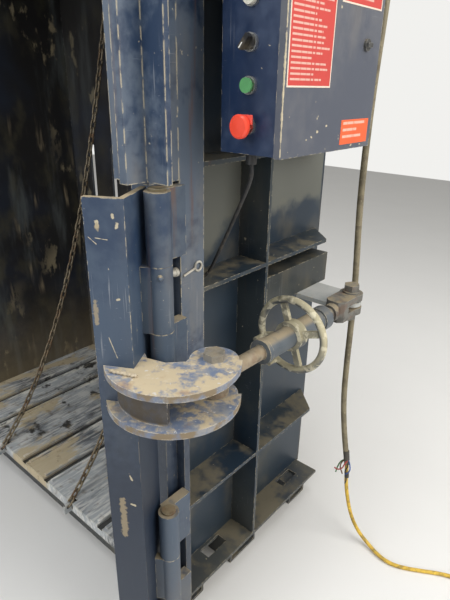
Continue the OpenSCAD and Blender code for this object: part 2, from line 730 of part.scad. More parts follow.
button_x = 899;
button_pitch = 65;
button_zs = [for (i = [0 : 3]) box_z + 48 + i * button_pitch];
bezel_h = 6;
button_gap = 0.4;

module at_button(i) translate([button_x, box_y, button_zs[i]]) rotate([90, 0, 0]) children();

module button_bezels() color("#b8bab8") for (i = [0 : 3]) at_button(i) difference() {
    union() {
        cylinder(r = bezel_r, h = bezel_h);
        translate([0, 0, -22]) cylinder(r = 9, h = 22);
        translate([0, 0, -sheet_t - 5]) hex(24, 5);
    }
    translate([0, 0, -23]) cylinder(r = 6.4, h = 30);
    translate([0, 0, bezel_h - 3]) cylinder(r = bezel_r - 2, h = 4);
}

module green_button() color("#4f9a55") at_button(1) {
    translate([0, 0, -16]) cylinder(r = 6, h = 20);
    translate([0, 0, bezel_h + 3]) cylinder(r = bezel_r - 2.4, h = 4.5);
    translate([0, 0, 3]) cylinder(r = 6, h = bezel_h + 1);
}
module stop_button() color("#e2492f") at_button(0) {
    translate([0, 0, -16]) cylinder(r = 6, h = 36);
    translate([0, 0, 19]) rotate_extrude() polygon([[0, 0], [17, 0], [20, 3], [20, 9], [17, 12], [0, 13]]);
}
module selector() color("#17181a") at_button(2) {
    translate([0, 0, -16]) cylinder(r = 6, h = 22);
    translate([0, 0, bezel_h]) rotate(-40) { cylinder(r = 12, h = 5); translate([-4, -13, 5]) cube([8, 26, 12]); }
}
module pilot_light() color("#c9c7bd") at_button(3) {
    translate([0, 0, -16]) cylinder(r = 6, h = 22);
    translate([0, 0, bezel_h - 3]) cylinder(r = bezel_r - 2.4, h = 9);
}

// Cords: a tube swept along its route by functions

function unit(v) = v / norm(v);
function ring_at(path, i, r, k) = let(
    a = path[max(i - 1, 0)], b = path[min(i + 1, len(path) - 1)],
    t = unit(b - a),
    u = unit(cross(t, abs(t[2]) > 0.8 ? [0, 1, 0] : [0, 0, 1])), v = cross(u, t))
    [for (j = [0 : k - 1]) path[i] + r * (cos(360 * j / k) * u + sin(360 * j / k) * v)];
// Points that round the corners of a route
function smooth(p, n) = [for (i = [0 : len(p) - 2], j = [0 : n - 1]) let(
    t = j / n, a = p[max(i - 1, 0)], b = p[i], c = p[i + 1], d = p[min(i + 2, len(p) - 1)])
    0.5 * (2 * b + (c - a) * t + (2 * a - 5 * b + 4 * c - d) * t * t + (3 * b - a - 3 * c + d) * t * t * t),
    p[len(p) - 1]];
module cord(route, r, n, k) {
    path = smooth(route, n);
    polyhedron(points = [for (i = [0 : len(path) - 1]) each ring_at(path, i, r, k)],
        faces = concat([[for (j = [0 : k - 1]) j]],
            [for (i = [0 : len(path) - 2], j = [0 : k - 1]) [i * k + j, (i + 1) * k + j, (i + 1) * k + (j + 1) % k, i * k + (j + 1) % k]],
            [[for (j = [k - 1 : -1 : 0]) (len(path) - 1) * k + j]]));
}

gland_x = 872;
gland_y = -275;
control_route = [[872, -275, 1311], [870, -274, 1280], [820, -262, 1190], [775, -255, 1110], [744, -250, 1060], [726, -262, 1040], [712, -266, 1037]];
module control_cable() color("#1d1f22") {
    cord(control_route, control_r, 6, 10);
}
module cable_gland() color("#26282b") translate([gland_x, gland_y, box_z]) {
    translate([0, 0, -24]) cylinder(r = 10, h = 24);
    cylinder(r = 8, h = 12);
}

splice = [926, 230, 300];
supply_route = [[716, 100, 2520], [770, 105, 2500], [830, 150, 2380], [856, 215, 2150], [862, 242, 1850], [858, 244, 1640],
    [851, 246, 1420], [852, 248, 1165], [868, 248, 890], [882, 240, 530], splice];
module supply_cable() color("#6b6756") cord(supply_route, supply_r, 5, 10);

lead_z = lead_r + 0.5;
coil_c = [1440, 400];
coil_r = 75;
coil_w = 4 * lead_r + 2;
lead_route = [splice, [936, 232, 200], [968, 236, 90], [1027, 240, 20], [1133, 225, lead_z], [1290, 305, lead_z],
    [1380, coil_c[1] - coil_r - coil_w / 2 - lead_r, lead_z], [coil_c[0], coil_c[1] - coil_r - coil_w / 2 - lead_r, lead_z]];
module yellow_lead() color("#c9a92c") cord(lead_route, lead_r, 8, 10);
module lead_coil() color("#c9a92c") translate([coil_c[0], coil_c[1], 0])
    rotate_extrude($fn = 72) translate([coil_r, 0]) polygon([[-coil_w / 2, 0.5], [coil_w / 2, 0.5], [coil_w / 2, 20],
        [coil_w / 2 - 6, coil_w], [6 - coil_w / 2, coil_w], [-coil_w / 2, 20]]);
module lead_plug() color("#26282b") translate([coil_c[0] + coil_r + coil_w / 2, coil_c[1], 20]) rotate([0, 90, 0]) {
    cylinder(r = 9, h = 20);
    translate([0, 0, 20]) cylinder(r = 19.5, h = 46);
    for (a = [0, 120, 240]) rotate(a) translate([9, 0, 66]) cylinder(r = 2.4, h = 20);
}

module cylinder_node() color(deep_blue) translate([0, 0, plate_z]) cylinder_body();

base_rails();
union() { chamber_floor(); floor_lugs(); }
floor_slot_channels();
right_wall();
left_wall();
back_wall();
back_ribs();
right_ribs();
left_ribs();
right_post();
left_post();
right_jamb();
left_jamb();
right_gate_guide();
left_gate_guide();
front_header();
top_frame();
screw_beam();
screw_bracket();
latch_frame_knuckles();
latch_pins();
latch_bar();
union() { latch_bar_knuckles(); bar_nipple(); }
upper_jaw();
lower_jaw();
jaw_bolt();
eye_rod();
screw_sleeve();
handwheel();
fork_rod();
bracket_bolt();
post_fitting();
bale_door();
door_ribs();
door_hinge_knuckles();
door_frame_knuckles();
feed_gate();
union() { platen(); platen_lugs(); }
ram_rod();
cylinder_node();  // cylinder
oil_tank();
pump_motor();
left_chain();
right_chain();
control_box();
control_box_door();
door_lock();
box_bracket();
panel_gear();
selector();
green_button();
stop_button();
pilot_light();
button_bezels();
cable_gland();
control_cable();
supply_cable();
yellow_lead();
lead_coil();
lead_plug();
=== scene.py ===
import math

import bpy
from mathutils import Matrix, Vector


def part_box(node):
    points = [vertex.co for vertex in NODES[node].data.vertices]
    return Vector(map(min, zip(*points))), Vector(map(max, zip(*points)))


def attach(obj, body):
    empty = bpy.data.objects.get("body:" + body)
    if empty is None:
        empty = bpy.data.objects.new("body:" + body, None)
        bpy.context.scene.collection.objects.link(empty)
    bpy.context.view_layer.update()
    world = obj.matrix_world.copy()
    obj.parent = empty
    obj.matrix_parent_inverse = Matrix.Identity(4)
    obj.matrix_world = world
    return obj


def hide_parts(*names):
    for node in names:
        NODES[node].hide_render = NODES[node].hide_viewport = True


bl_info = {
    "name": "Recycling baler",
    "version": (1, 0, 0),
    "blender": (4, 5, 0),
    "location": "3D View > Sidebar > Baler",
    "description": "Paint, wear, cords and small fittings of a recycling baler",
    "category": "Object",
}

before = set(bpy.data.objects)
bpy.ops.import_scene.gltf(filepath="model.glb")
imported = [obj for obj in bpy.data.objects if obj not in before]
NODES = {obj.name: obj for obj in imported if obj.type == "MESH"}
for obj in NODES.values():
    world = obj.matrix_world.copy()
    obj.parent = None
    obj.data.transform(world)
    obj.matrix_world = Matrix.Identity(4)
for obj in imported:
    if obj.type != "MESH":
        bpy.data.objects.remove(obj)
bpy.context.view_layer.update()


# Sizes and colours that a user would change

def colour(name, text, rgb):
    return bpy.props.FloatVectorProperty(
        name=name, description=text, subtype="COLOR", size=3, min=0, max=1, default=rgb)


def length(name, text, metres):
    return bpy.props.FloatProperty(
        name=name, description=text, subtype="DISTANCE", unit="LENGTH", min=0, default=metres)


def share(name, text, value):
    return bpy.props.FloatProperty(
        name=name, description=text, subtype="FACTOR", min=0, max=1, default=value)


class BalerPaint(bpy.types.PropertyGroup):
    enamel: colour("Enamel", "Navy enamel of the steelwork", (0.021, 0.04, 0.081))
    enamel_worn: colour("Worn enamel", "Enamel where hands and bales have rubbed it", (0.058, 0.082, 0.118))
    box_enamel: colour("Box enamel", "Enamel of the control box", (0.009, 0.022, 0.06))
    primer: colour("Primer", "Cream primer where the enamel is chipped", (0.52, 0.45, 0.31))
    dust: colour("Dust", "Tan paper dust", (0.33, 0.265, 0.165))
    rust: colour("Rust", "Rust runs", (0.15, 0.06, 0.022))
    # Near black of the chamber's inside: partly real grease, partly painted shade for the shadow inside the chamber
    grime_and_shade: colour("Grime", "Black grease inside the chamber", (0.018, 0.017, 0.017))
    bare: colour("Bare steel", "Steel that is rubbed clean", (0.36, 0.355, 0.345))


class BalerCords(bpy.types.PropertyGroup):
    supply_width: length("Supply cable", "Diameter of the grey supply cable", 0.018)
    lead_width: length("Yellow lead", "Diameter of the yellow lead", 0.012)
    sheath: colour("Supply sheath", "Dusty sheath of the supply cable", (0.2, 0.17, 0.105))
    lead: colour("Lead sheath", "Dirty yellow sheath", (0.62, 0.4, 0.045))


class BalerTrim(bpy.types.PropertyGroup):
    field_red: colour("Large fields", "Colour of the large fields on the box door", (0.53, 0.055, 0.045))
    field_orange: colour("Small field", "Colour of the small field", (0.78, 0.12, 0.035))
    field_edge: colour("Field edge", "Border and bars of the fields", (0.72, 0.6, 0.5))
    bead_width: length("Weld bead", "Width of the weld beads", 0.007)


class BalerStage(bpy.types.PropertyGroup):
    floor: colour("Floor", "Pale studio floor", (0.72, 0.71, 0.69))
    window: share("Window light", "Share of the light that comes from the side", 0.62)


def paint():
    return bpy.context.scene.baler_paint


def cords():
    return bpy.context.scene.baler_cords


def trim():
    return bpy.context.scene.baler_trim


# Colours of the side frame, darker than the front as painted shade for the shadow it lies in; its dust is darkened
# the same way

SHADED_ENAMEL = (0.014, 0.026, 0.042)
SHADED_WORN = (0.03, 0.04, 0.046)
SHADED_DUST = (0.16, 0.135, 0.085)


# Nodes of a finish

class Finish:
    """A material with a Principled shader, whose colour is laid on in coats."""

    def __init__(self, name, rgb, rough=0.5, metal=0.0):
        self.material = bpy.data.materials.new(name)
        self.material.use_nodes = True
        self.tree = self.material.node_tree
        self.tree.nodes.clear()
        out = self.tree.nodes.new("ShaderNodeOutputMaterial")
        self.shader = self.tree.nodes.new("ShaderNodeBsdfPrincipled")
        self.tree.links.new(self.shader.outputs[0], out.inputs[0])
        self.shader.inputs["Metallic"].default_value = metal
        self.where = self.add("ShaderNodeTexCoord").outputs["Object"]
        self.geometry = self.add("ShaderNodeNewGeometry")
        self.colour = (*rgb, 1)
        self.rough = rough
        self.height = None

    def add(self, kind, *values, **settings):
        node = self.tree.nodes.new(kind)
        for key, value in settings.items():
            setattr(node, key, value)
        for socket, value in zip(node.inputs, values):
            self.feed(socket, value)
        return node

    def feed(self, socket, value):
        if value is None:
            return
        if isinstance(value, bpy.types.NodeSocket):
            self.tree.links.new(value, socket)
        else:
            socket.default_value = value

    def maths(self, operation, a, b=None):
        return self.add("ShaderNodeMath", a, b, operation=operation).outputs[0]

    def vector(self, operation, a, b=None, result=0):
        return self.add("ShaderNodeVectorMath", a, b, operation=operation).outputs[result]

    def band(self, value, low, high):
        """0 below low and 1 above high, or the other way where low is the larger."""
        node = self.add("ShaderNodeMapRange", interpolation_type="SMOOTHSTEP")
        self.feed(node.inputs["Value"], value)
        ends = (low, high, 0, 1) if low < high else (high, low, 1, 0)
        for name, end in zip(("From Min", "From Max", "To Min", "To Max"), ends):
            node.inputs[name].default_value = end
        return node.outputs["Result"]

    def grain(self, scale, detail=3.0, stretch=(1, 1, 1), shift=0.0, broken=0.55):
        at = self.vector("MULTIPLY", self.where, stretch)
        if shift:
            at = self.vector("ADD", at, (shift, shift * 0.7, shift * 1.3))
        node = self.add("ShaderNodeTexNoise", at)
        node.inputs["Scale"].default_value = scale
        node.inputs["Detail"].default_value = detail
        node.inputs["Roughness"].default_value = broken
        return node.outputs[0]

    def faces(self, axis):
        """How far the surface faces along a direction."""
        return self.vector("DOT_PRODUCT", self.geometry.outputs["Normal"], axis, 1)

    def place(self, axis):
        return self.vector("DOT_PRODUCT", self.where, axis, 1)

    def mix(self, amount, a, b):
        node = self.add("ShaderNodeMix", data_type="RGBA")
        self.feed(node.inputs[0], amount)
        self.feed(node.inputs[6], a)
        self.feed(node.inputs[7], b)
        return node.outputs[2]

    def coat(self, amount, rgb, rough=None, depth=0.0):
        """Lays a colour on by an amount from 0 to 1."""
        self.colour = self.mix(amount, self.colour, (*rgb, 1) if not isinstance(rgb, bpy.types.NodeSocket) else rgb)
        if rough is not None:
            node = self.add("ShaderNodeMix", amount)
            self.feed(node.inputs[2], self.rough)
            node.inputs[3].default_value = rough
            self.rough = node.outputs[0]
        if depth:
            rise = self.maths("MULTIPLY", amount, depth)
            self.height = rise if self.height is None else self.maths("ADD", self.height, rise)

    def edges(self, radius, low, high):
        """1 along sharp edges."""
        round_off = self.add("ShaderNodeBevel", radius, samples=6)
        along = self.vector("DOT_PRODUCT", round_off.outputs[0], self.geometry.outputs["Normal"], 1)
        return self.band(self.maths("SUBTRACT", 1.0, along), low, high)

    def stroke(self, start, end, width, ragged):
        """1 within a ragged stroke from one point to another."""
        start, end = Vector(start), Vector(end)
        run = end - start
        offset = self.vector("SUBTRACT", self.where, tuple(start))
        if run.length > 1e-6:
            along = self.vector("DOT_PRODUCT", offset, tuple(run.normalized()), 1)
            clamp = self.add("ShaderNodeClamp", along, 0.0, run.length).outputs[0]
            nearest = self.add("ShaderNodeVectorMath", tuple(run.normalized()), operation="SCALE")
            self.feed(nearest.inputs["Scale"], clamp)
            offset = self.vector("SUBTRACT", offset, nearest.outputs[0])
        far = self.vector("LENGTH", offset, None, 1)
        loose = self.maths("MULTIPLY", self.maths("SUBTRACT", ragged, 0.5), width * 2.6)
        return self.band(self.maths("ADD", far, loose), width, width * 0.6)

    def done(self, bump=0.25, fine=0.0):
        self.feed(self.shader.inputs["Base Color"], self.colour)
        self.feed(self.shader.inputs["Roughness"], self.rough)
        if fine:
            rise = self.maths("MULTIPLY", self.grain(420, 2.0), fine)
            self.height = rise if self.height is None else self.maths("ADD", self.height, rise)
        if self.height is not None:
            node = self.add("ShaderNodeBump")
            node.inputs["Strength"].default_value = bump
            node.inputs["Distance"].default_value = 0.002
            self.feed(node.inputs["Height"], self.height)
            self.feed(self.shader.inputs["Normal"], node.outputs[0])
        return self.material


def enamel(name, base=None, worn=None, gloss=0.36, dust=0.5, ledge=0.8, chips=0.5, scratches=0.5,
           runs=0.3, low_dirt=0.5, mottle=0.5, edge_width=0.0035, marks=(), dabs=(), ledge_dust=None,
           foot_shade=0.0):
    """Navy enamel, with dust on what faces up and cream primer where it is chipped."""
    colours = paint()
    base = tuple(base or colours.enamel)
    worn = tuple(worn or colours.enamel_worn)
    f = Finish(name, base, gloss)
    broad = f.grain(3.2, 3.0)
    fine = f.grain(48, 4.0, shift=3.0)
    f.coat(f.band(f.maths("ADD", broad, f.maths("MULTIPLY", fine, 0.35)), 0.52, 0.86 - 0.2 * mottle), worn, 0.5)
    f.coat(f.maths("MULTIPLY", f.band(f.grain(7, 5.0, (1, 1, 0.35), 9.0), 0.5, 0.75), 0.3 * dust),
           tuple(colours.dust), 0.8)
    if runs:
        run = f.band(f.grain(1.0, 4.0, (34, 34, 1.6), 4.0), 0.6, 0.74)
        run = f.maths("MULTIPLY", run, f.band(f.grain(2.4, 2.0, shift=12.0), 0.45, 0.65))
        f.coat(f.maths("MULTIPLY", run, runs), tuple(colours.rust), 0.75)
    if low_dirt:
        near_floor = f.band(f.maths("ADD", f.place((0, 0, 1)), f.maths("MULTIPLY", fine, 0.25)), 0.62, 0.1)
        f.coat(f.maths("MULTIPLY", near_floor, 0.45 * low_dirt), tuple(colours.dust), 0.85)
    if scratches:
        upright = f.band(f.grain(1.0, 2.0, (420, 420, 7), 2.0), 0.665, 0.7)
        across = f.band(f.grain(1.0, 2.0, (60, 9, 420), 7.0), 0.69, 0.72)
        some = f.band(f.grain(5, 2.0, shift=21.0), 0.5, 0.62)
        f.coat(f.maths("MULTIPLY", f.maths("MULTIPLY", f.maths("MAXIMUM", upright, across), some), 0.6 * scratches),
               (0.3, 0.31, 0.33), 0.5)
    specks = f.band(f.grain(85, 3.0, shift=5.0), 0.745 - 0.03 * chips, 0.77 - 0.03 * chips)
    f.coat(f.maths("MULTIPLY", specks, 0.85 * min(1.0, chips * 1.4)), tuple(colours.primer), 0.7)
    if chips:
        edge = f.edges(edge_width, 0.02, 0.16)
        torn = f.band(f.grain(70, 5.0, (1, 1, 0.6), 1.0), 0.6 - 0.16 * chips, 0.66 - 0.14 * chips)
        f.coat(f.maths("MULTIPLY", f.maths("MULTIPLY", edge, torn), 0.95), tuple(colours.primer), 0.7, -0.4)
    if foot_shade:
        foot = f.band(f.maths("ADD", f.place((0, 0, 1)), f.maths("MULTIPLY", fine, 0.2)), 1.1, 0.7)
        f.coat(f.maths("MULTIPLY", foot, foot_shade), tuple(c * 0.4 for c in base), 0.45)
    ragged = f.grain(130, 4.0, shift=6.0)
    for start, end, width in marks:
        f.coat(f.maths("MULTIPLY", f.stroke(start, end, width, ragged), 0.85), tuple(colours.primer), 0.7)
    for start, end, width in dabs:
        f.coat(f.maths("MULTIPLY", f.stroke(start, end, width, ragged), 0.7), tuple(colours.dust), 0.85)
    up = f.band(f.faces((0, 0, 1)), 0.55, 0.9)
    patches = f.band(f.maths("ADD", f.maths("MULTIPLY", f.grain(9, 5.0, shift=15.0), 0.8),
                             f.maths("MULTIPLY", fine, 0.2)), 0.62 - 0.3 * ledge, 0.78 - 0.3 * ledge)
    f.coat(f.maths("MULTIPLY", f.maths("MULTIPLY", up, patches), min(1.0, 0.35 + 0.6 * ledge)),
           tuple(ledge_dust or colours.dust), 0.92, 0.5)
    return f.done(0.3, 0.12)


def chamber(name, scrape=0.5, wall_side=None, patches=(), rubbed=()):
    """Greasy black inside of the chamber, partly painted shade, scraped by bales and streaked with painted sheen;
    outside, the side frame's darker enamel as painted shade, with strokes of painted light where given.
    """
    colours = paint()
    # painted shade: the inside starts from the near-black colour, dark partly from grease and partly standing in for
    # the chamber's shadow
    f = Finish(name, tuple(colours.grime_and_shade), 0.4)
    broad = f.grain(2.6, 4.0)
    f.coat(f.maths("MULTIPLY", f.band(broad, 0.42, 0.68), 0.8), (0.024, 0.032, 0.052), 0.35)
    streak = f.band(f.grain(1.0, 5.0, (26, 26, 3.2), 3.0), 0.56, 0.7)
    streak = f.maths("MULTIPLY", streak, f.band(f.grain(3.4, 3.0, shift=8.0), 0.5, 0.66))
    f.coat(f.maths("MULTIPLY", streak, scrape), tuple(colours.dust), 0.75)
    # painted sheen: pale blue-grey streaks on the black stand in for reflections on the greasy walls; the lower
    # roughness with them is real gloss
    sheen = f.band(f.grain(1.0, 5.0, (11, 11, 1.9), 22.0, 0.6), 0.5, 0.72)
    f.coat(f.maths("MULTIPLY", sheen, 0.8 * scrape), (0.1, 0.112, 0.112), 0.3)
    torn = f.maths("MULTIPLY", f.band(f.grain(6.5, 7.0, (1, 1, 0.5), 14.0, 0.65), 0.55, 0.6),
                   f.band(f.grain(1.7, 2.0, shift=18.0), 0.42, 0.52))
    f.coat(f.maths("MULTIPLY", torn, 0.85 * scrape), (0.3, 0.25, 0.155), 0.8)
    olive = f.band(f.grain(9, 5.0, (1, 1, 0.6), 31.0), 0.5, 0.68)
    f.coat(f.maths("MULTIPLY", olive, 0.45 * scrape), (0.09, 0.08, 0.045), 0.7)
    for start, end, width in patches:
        rag = f.grain(24, 5.0, shift=27.0, broken=0.65)
        f.coat(f.maths("MULTIPLY", f.stroke(start, end, width, rag), 0.85), (0.33, 0.27, 0.165), 0.8)
    low = f.band(f.maths("ADD", f.place((0, 0, 1)), f.maths("MULTIPLY", f.grain(14, 4.0), 0.3)), 0.72, 0.2)
    f.coat(f.maths("MULTIPLY", low, 0.5), tuple(colours.dust), 0.85)
    edge = f.edges(0.004, 0.02, 0.16)
    f.coat(f.maths("MULTIPLY", f.maths("MULTIPLY", edge, f.band(f.grain(60, 4.0, shift=2.0), 0.5, 0.6)), 0.8),
           tuple(colours.bare), 0.45)
    if wall_side:
        # painted shade: faces turned away from the chamber take the side frame's darker enamel, worn tone and dust,
        # for the shadow on the outside of the walls
        outside = f.band(f.faces(wall_side), -0.5, 0.2)
        f.coat(outside, SHADED_ENAMEL, 0.42)
        f.coat(f.maths("MULTIPLY", outside, f.maths("MULTIPLY", f.band(broad, 0.45, 0.75), 0.6)),
               SHADED_WORN, 0.5)
        f.coat(f.maths("MULTIPLY", outside, f.maths("MULTIPLY", f.band(f.grain(6, 5.0, shift=9.0), 0.48, 0.78), 0.4)),
               SHADED_DUST, 0.8)
        # painted light: these strokes lay a paler band on the shaded outside, a pool of light on the right wall below
        # the shelf
        for start, end, width in rubbed:
            high = f.stroke(start, end, width, f.grain(5, 5.0, shift=37.0))
            f.coat(f.maths("MULTIPLY", f.maths("MULTIPLY", outside, high), 0.5), (0.2, 0.195, 0.15), 0.7)
    return f.done(0.3, 0.1)


def bed(name, pale=0.5, dirt=0.5, slot_shade_amount=0.94):
    """Chamber floor: blue-grey steel rubbed by bales, with tan dirt trodden in and painted shade in the slot bottoms.
    """
    colours = paint()
    f = Finish(name, (0.1, 0.108, 0.12), 0.42)
    f.coat(f.band(f.grain(5, 6.0, (1.6, 0.6, 1), broken=0.65), 0.38, 0.56), (0.4, 0.42, 0.43), 0.36)
    rub = f.maths("MULTIPLY", f.band(f.grain(1.0, 4.0, (90, 12, 40), 6.0), 0.45, 0.6), 0.9)
    f.coat(f.maths("MULTIPLY", rub, pale), (0.78, 0.76, 0.7), 0.34)
    f.coat(f.band(f.grain(11, 4.0, shift=17.0), 0.6, 0.68), (0.035, 0.033, 0.03), 0.7)
    tan = f.band(f.grain(4.2, 7.0, (1.7, 0.75, 1), 4.0, 0.62), 0.57 - 0.12 * dirt, 0.63 - 0.1 * dirt)
    f.coat(f.maths("MULTIPLY", tan, 0.92), (0.5, 0.41, 0.26), 0.92, 0.9)
    trodden = f.band(f.grain(30, 4.0, shift=11.0), 0.56, 0.68)
    f.coat(f.maths("MULTIPLY", trodden, 0.55 * dirt), (0.17, 0.12, 0.07), 0.95, 0.6)
    edge = f.edges(0.003, 0.03, 0.2)
    f.coat(f.maths("MULTIPLY", edge, f.band(f.grain(40, 3.0), 0.38, 0.48)), (0.62, 0.57, 0.46), 0.4)
    # painted shade: the up-facing slot bottoms, below the plate's top, are laid near black
    slot_bottom_shade = f.maths("MULTIPLY", f.band(f.place((0, 0, 1)), 0.1285, 0.1265), f.band(f.faces((0, 0, 1)), 0.3, 0.7))
    f.coat(f.maths("MULTIPLY", slot_bottom_shade, slot_shade_amount), (0.014, 0.013, 0.012), 0.7)
    return f.done(0.45, 0.15)


def jaw(name):
    """Latch jaw: tan dust worked into worn blue enamel, with painted shade laid dark in the gap between the jaws."""
    colours = paint()
    f = Finish(name, (0.13, 0.165, 0.24), 0.5)
    f.coat(f.band(f.grain(26, 6.0, broken=0.7), 0.46, 0.6), (0.22, 0.23, 0.25), 0.6)
    speckled = f.maths("ADD", f.maths("MULTIPLY", f.grain(13, 7.0, shift=2.0, broken=0.7), 0.7),
                       f.maths("MULTIPLY", f.grain(75, 3.0), 0.3))
    middle = f.stroke((0.83, -0.5, 0.937), (1.03, -0.47, 0.937), 0.075, f.grain(15, 4.0, shift=41.0))
    tan = f.band(f.maths("ADD", speckled, f.maths("MULTIPLY", middle, 0.05)), 0.45, 0.575)
    f.coat(f.maths("MULTIPLY", tan, f.band(f.faces((0, 0, 1)), -0.2, 0.7)), (0.45, 0.37, 0.245), 0.92, 0.7)
    pale = f.band(f.grain(33, 5.0, shift=23.0, broken=0.7), 0.57, 0.68)
    f.coat(f.maths("MULTIPLY", pale, 0.4), (0.52, 0.46, 0.36), 0.92)
    rusty = f.band(f.grain(17, 4.0, shift=7.0), 0.58, 0.7)
    f.coat(f.maths("MULTIPLY", rusty, 0.5), (0.26, 0.15, 0.075), 0.9)
    f.coat(f.maths("MULTIPLY", f.band(f.grain(90, 3.0, shift=4.0), 0.66, 0.7), 0.8), (0.5, 0.49, 0.47), 0.6)
    sides = f.band(f.faces((0, 0, 1)), 0.5, 0.1)
    f.coat(f.maths("MULTIPLY", sides, f.band(f.grain(30, 4.0, shift=13.0), 0.42, 0.6)), (0.2, 0.155, 0.1), 0.9)
    # painted shade: the sides in the gap between the two jaws, around the eye, are laid near black for the shadowed
    # recess
    gap_shade = f.maths("MULTIPLY", sides, f.maths("MULTIPLY", f.band(f.place((0, 0, 1)), 0.8625, 0.868),
                                              f.band(f.place((0, 0, 1)), 0.929, 0.925)))
    f.coat(f.maths("MULTIPLY", gap_shade, 0.85), (0.05, 0.042, 0.034), 0.9)
    edge = f.edges(0.0035, 0.02, 0.15)
    f.coat(f.maths("MULTIPLY", edge, f.band(f.grain(60, 3.0, shift=3.0), 0.44, 0.56)), (0.5, 0.45, 0.36), 0.6)
    return f.done(0.5, 0.3)


def steel(name, rgb, rusty=0.4, rough=0.45, metal=0.7, dusty=0.3, bright_edges=0.5):
    """Plain steel with a brown skin."""
    colours = paint()
    f = Finish(name, rgb, rough, metal)
    f.coat(f.band(f.grain(34, 5.0, broken=0.62), 0.45, 0.68), tuple(c * 0.55 for c in rgb), rough + 0.15)
    f.coat(f.maths("MULTIPLY", f.band(f.grain(22, 5.0, shift=6.0), 0.5, 0.64), rusty), tuple(colours.rust), 0.85, 0.3)
    up = f.band(f.faces((0, 0, 1)), 0.0, 0.8)
    f.coat(f.maths("MULTIPLY", f.maths("MULTIPLY", up, f.band(f.grain(30, 4.0, shift=9.0), 0.35, 0.6)), dusty),
           tuple(colours.dust), 0.92)
    if bright_edges:
        edge = f.edges(0.0015, 0.03, 0.2)
        f.coat(f.maths("MULTIPLY", edge, bright_edges), (0.6, 0.57, 0.5), 0.35)
    return f.done(0.35, 0.25)


def wheel_finish(name):
    """Handwheel: old enamel under olive dust, rubbed pale on the rim."""
    colours = paint()
    f = Finish(name, (0.06, 0.068, 0.075), 0.5)
    f.coat(f.band(f.grain(24, 4.0), 0.45, 0.62), (0.13, 0.13, 0.12), 0.6)
    up = f.band(f.maths("ADD", f.faces((0.25, -0.2, 0.9)), f.maths("MULTIPLY", f.grain(30, 4.0), 0.5)), 0.15, 0.75)
    f.coat(up, (0.4, 0.36, 0.24), 0.8)
    f.coat(f.maths("MULTIPLY", f.band(f.grain(50, 4.0, shift=4.0), 0.5, 0.6), 0.75), (0.62, 0.57, 0.42), 0.6)
    f.coat(f.maths("MULTIPLY", f.band(f.grain(19, 4.0, shift=14.0), 0.58, 0.68), 0.7), (0.05, 0.05, 0.048), 0.6)
    return f.done(0.35, 0.25)


def moulded(name, rgb, rough=0.35, dusty=0.25):
    """Moulded plastic, a little dusty."""
    f = Finish(name, rgb, rough)
    f.coat(f.maths("MULTIPLY", f.band(f.grain(70, 3.0), 0.42, 0.75), 0.25), tuple(c * 0.6 for c in rgb), rough + 0.1)
    f.coat(f.maths("MULTIPLY", f.band(f.grain(24, 5.0, shift=3.0), 0.5, 0.75), dusty), tuple(paint().dust), 0.85)
    edge = f.edges(0.0012, 0.05, 0.3)
    f.coat(f.maths("MULTIPLY", edge, 0.35), tuple(min(1.0, c * 1.6 + 0.05) for c in rgb), rough)
    return f.done(0.2, 0.15)


def sheath(name, rgb, dirt, rough=0.6):
    """Cable sheath, scuffed and dusty."""
    f = Finish(name, rgb, rough)
    f.coat(f.band(f.grain(18, 5.0), 0.42, 0.68), tuple(c * 0.62 for c in rgb), rough + 0.1)
    f.coat(f.maths("MULTIPLY", f.band(f.grain(55, 4.0, shift=5.0), 0.5, 0.66), dirt), (0.1, 0.08, 0.055), 0.85)
    f.coat(f.maths("MULTIPLY", f.band(f.grain(90, 3.0, shift=8.0), 0.6, 0.68), 0.4),
           tuple(min(1, c * 1.8) for c in rgb), 0.5)
    return f.done(0.25, 0.2)


def field_finish(name, rgb, rows, first, last, low, pitch):
    """A plain field with bars of uneven length."""
    f = Finish(name, rgb, 0.32)
    f.coat(f.band(f.grain(9, 4.0), 0.45, 0.75), tuple(c * 0.82 for c in rgb), 0.4)
    row = f.maths("DIVIDE", f.maths("SUBTRACT", f.place((0, 0, 1)), low), pitch)
    within = f.maths("FRACT", row)
    bar = f.maths("MULTIPLY", f.band(within, 0.3, 0.38), f.band(within, 0.78, 0.7))
    number = f.add("ShaderNodeTexWhiteNoise", noise_dimensions="1D")
    f.feed(number.inputs["W"], f.maths("FLOOR", row))
    reach = f.maths("ADD", f.maths("MULTIPLY", number.outputs["Value"], (last - first) * 0.5), (first + last) / 2)
    across = f.place((0, 1, 0))
    inside = f.maths("MULTIPLY", f.maths("GREATER_THAN", across, first), f.maths("LESS_THAN", across, reach))
    pieces = f.band(f.grain(1.0, 2.0, (0, 190, 0), 3.0), 0.36, 0.42)
    inside = f.maths("MULTIPLY", inside, pieces)
    inside = f.maths("MULTIPLY", inside, f.maths("GREATER_THAN", row, 0.0))
    inside = f.maths("MULTIPLY", inside, f.maths("LESS_THAN", row, float(rows)))
    f.coat(f.maths("MULTIPLY", f.maths("MULTIPLY", bar, inside), 0.6), tuple(trim().field_edge), 0.4)
    return f.done(0.1, 0.05)


# Shaping helpers

def clear_selection():
    if bpy.context.mode != "OBJECT":
        bpy.ops.object.mode_set(mode="OBJECT")
    bpy.ops.object.select_all(action="DESELECT")


def only(obj):
    clear_selection()
    obj.select_set(True)
    bpy.context.view_layer.objects.active = obj
    return obj


def named(name):
    obj = bpy.context.object
    obj.name = name
    obj.data.name = name
    return obj


def settle(obj):
    """Puts the piece's place and turn into its mesh."""
    only(obj)
    bpy.ops.object.transform_apply(location=True, rotation=True, scale=True)
    return obj


def modifier(obj, kind, **values):
    only(obj)
    made = obj.modifiers.new(kind.title(), kind)
    for key, value in values.items():
        setattr(made, key, value)
    bpy.ops.object.modifier_apply(modifier=made.name)
    return obj


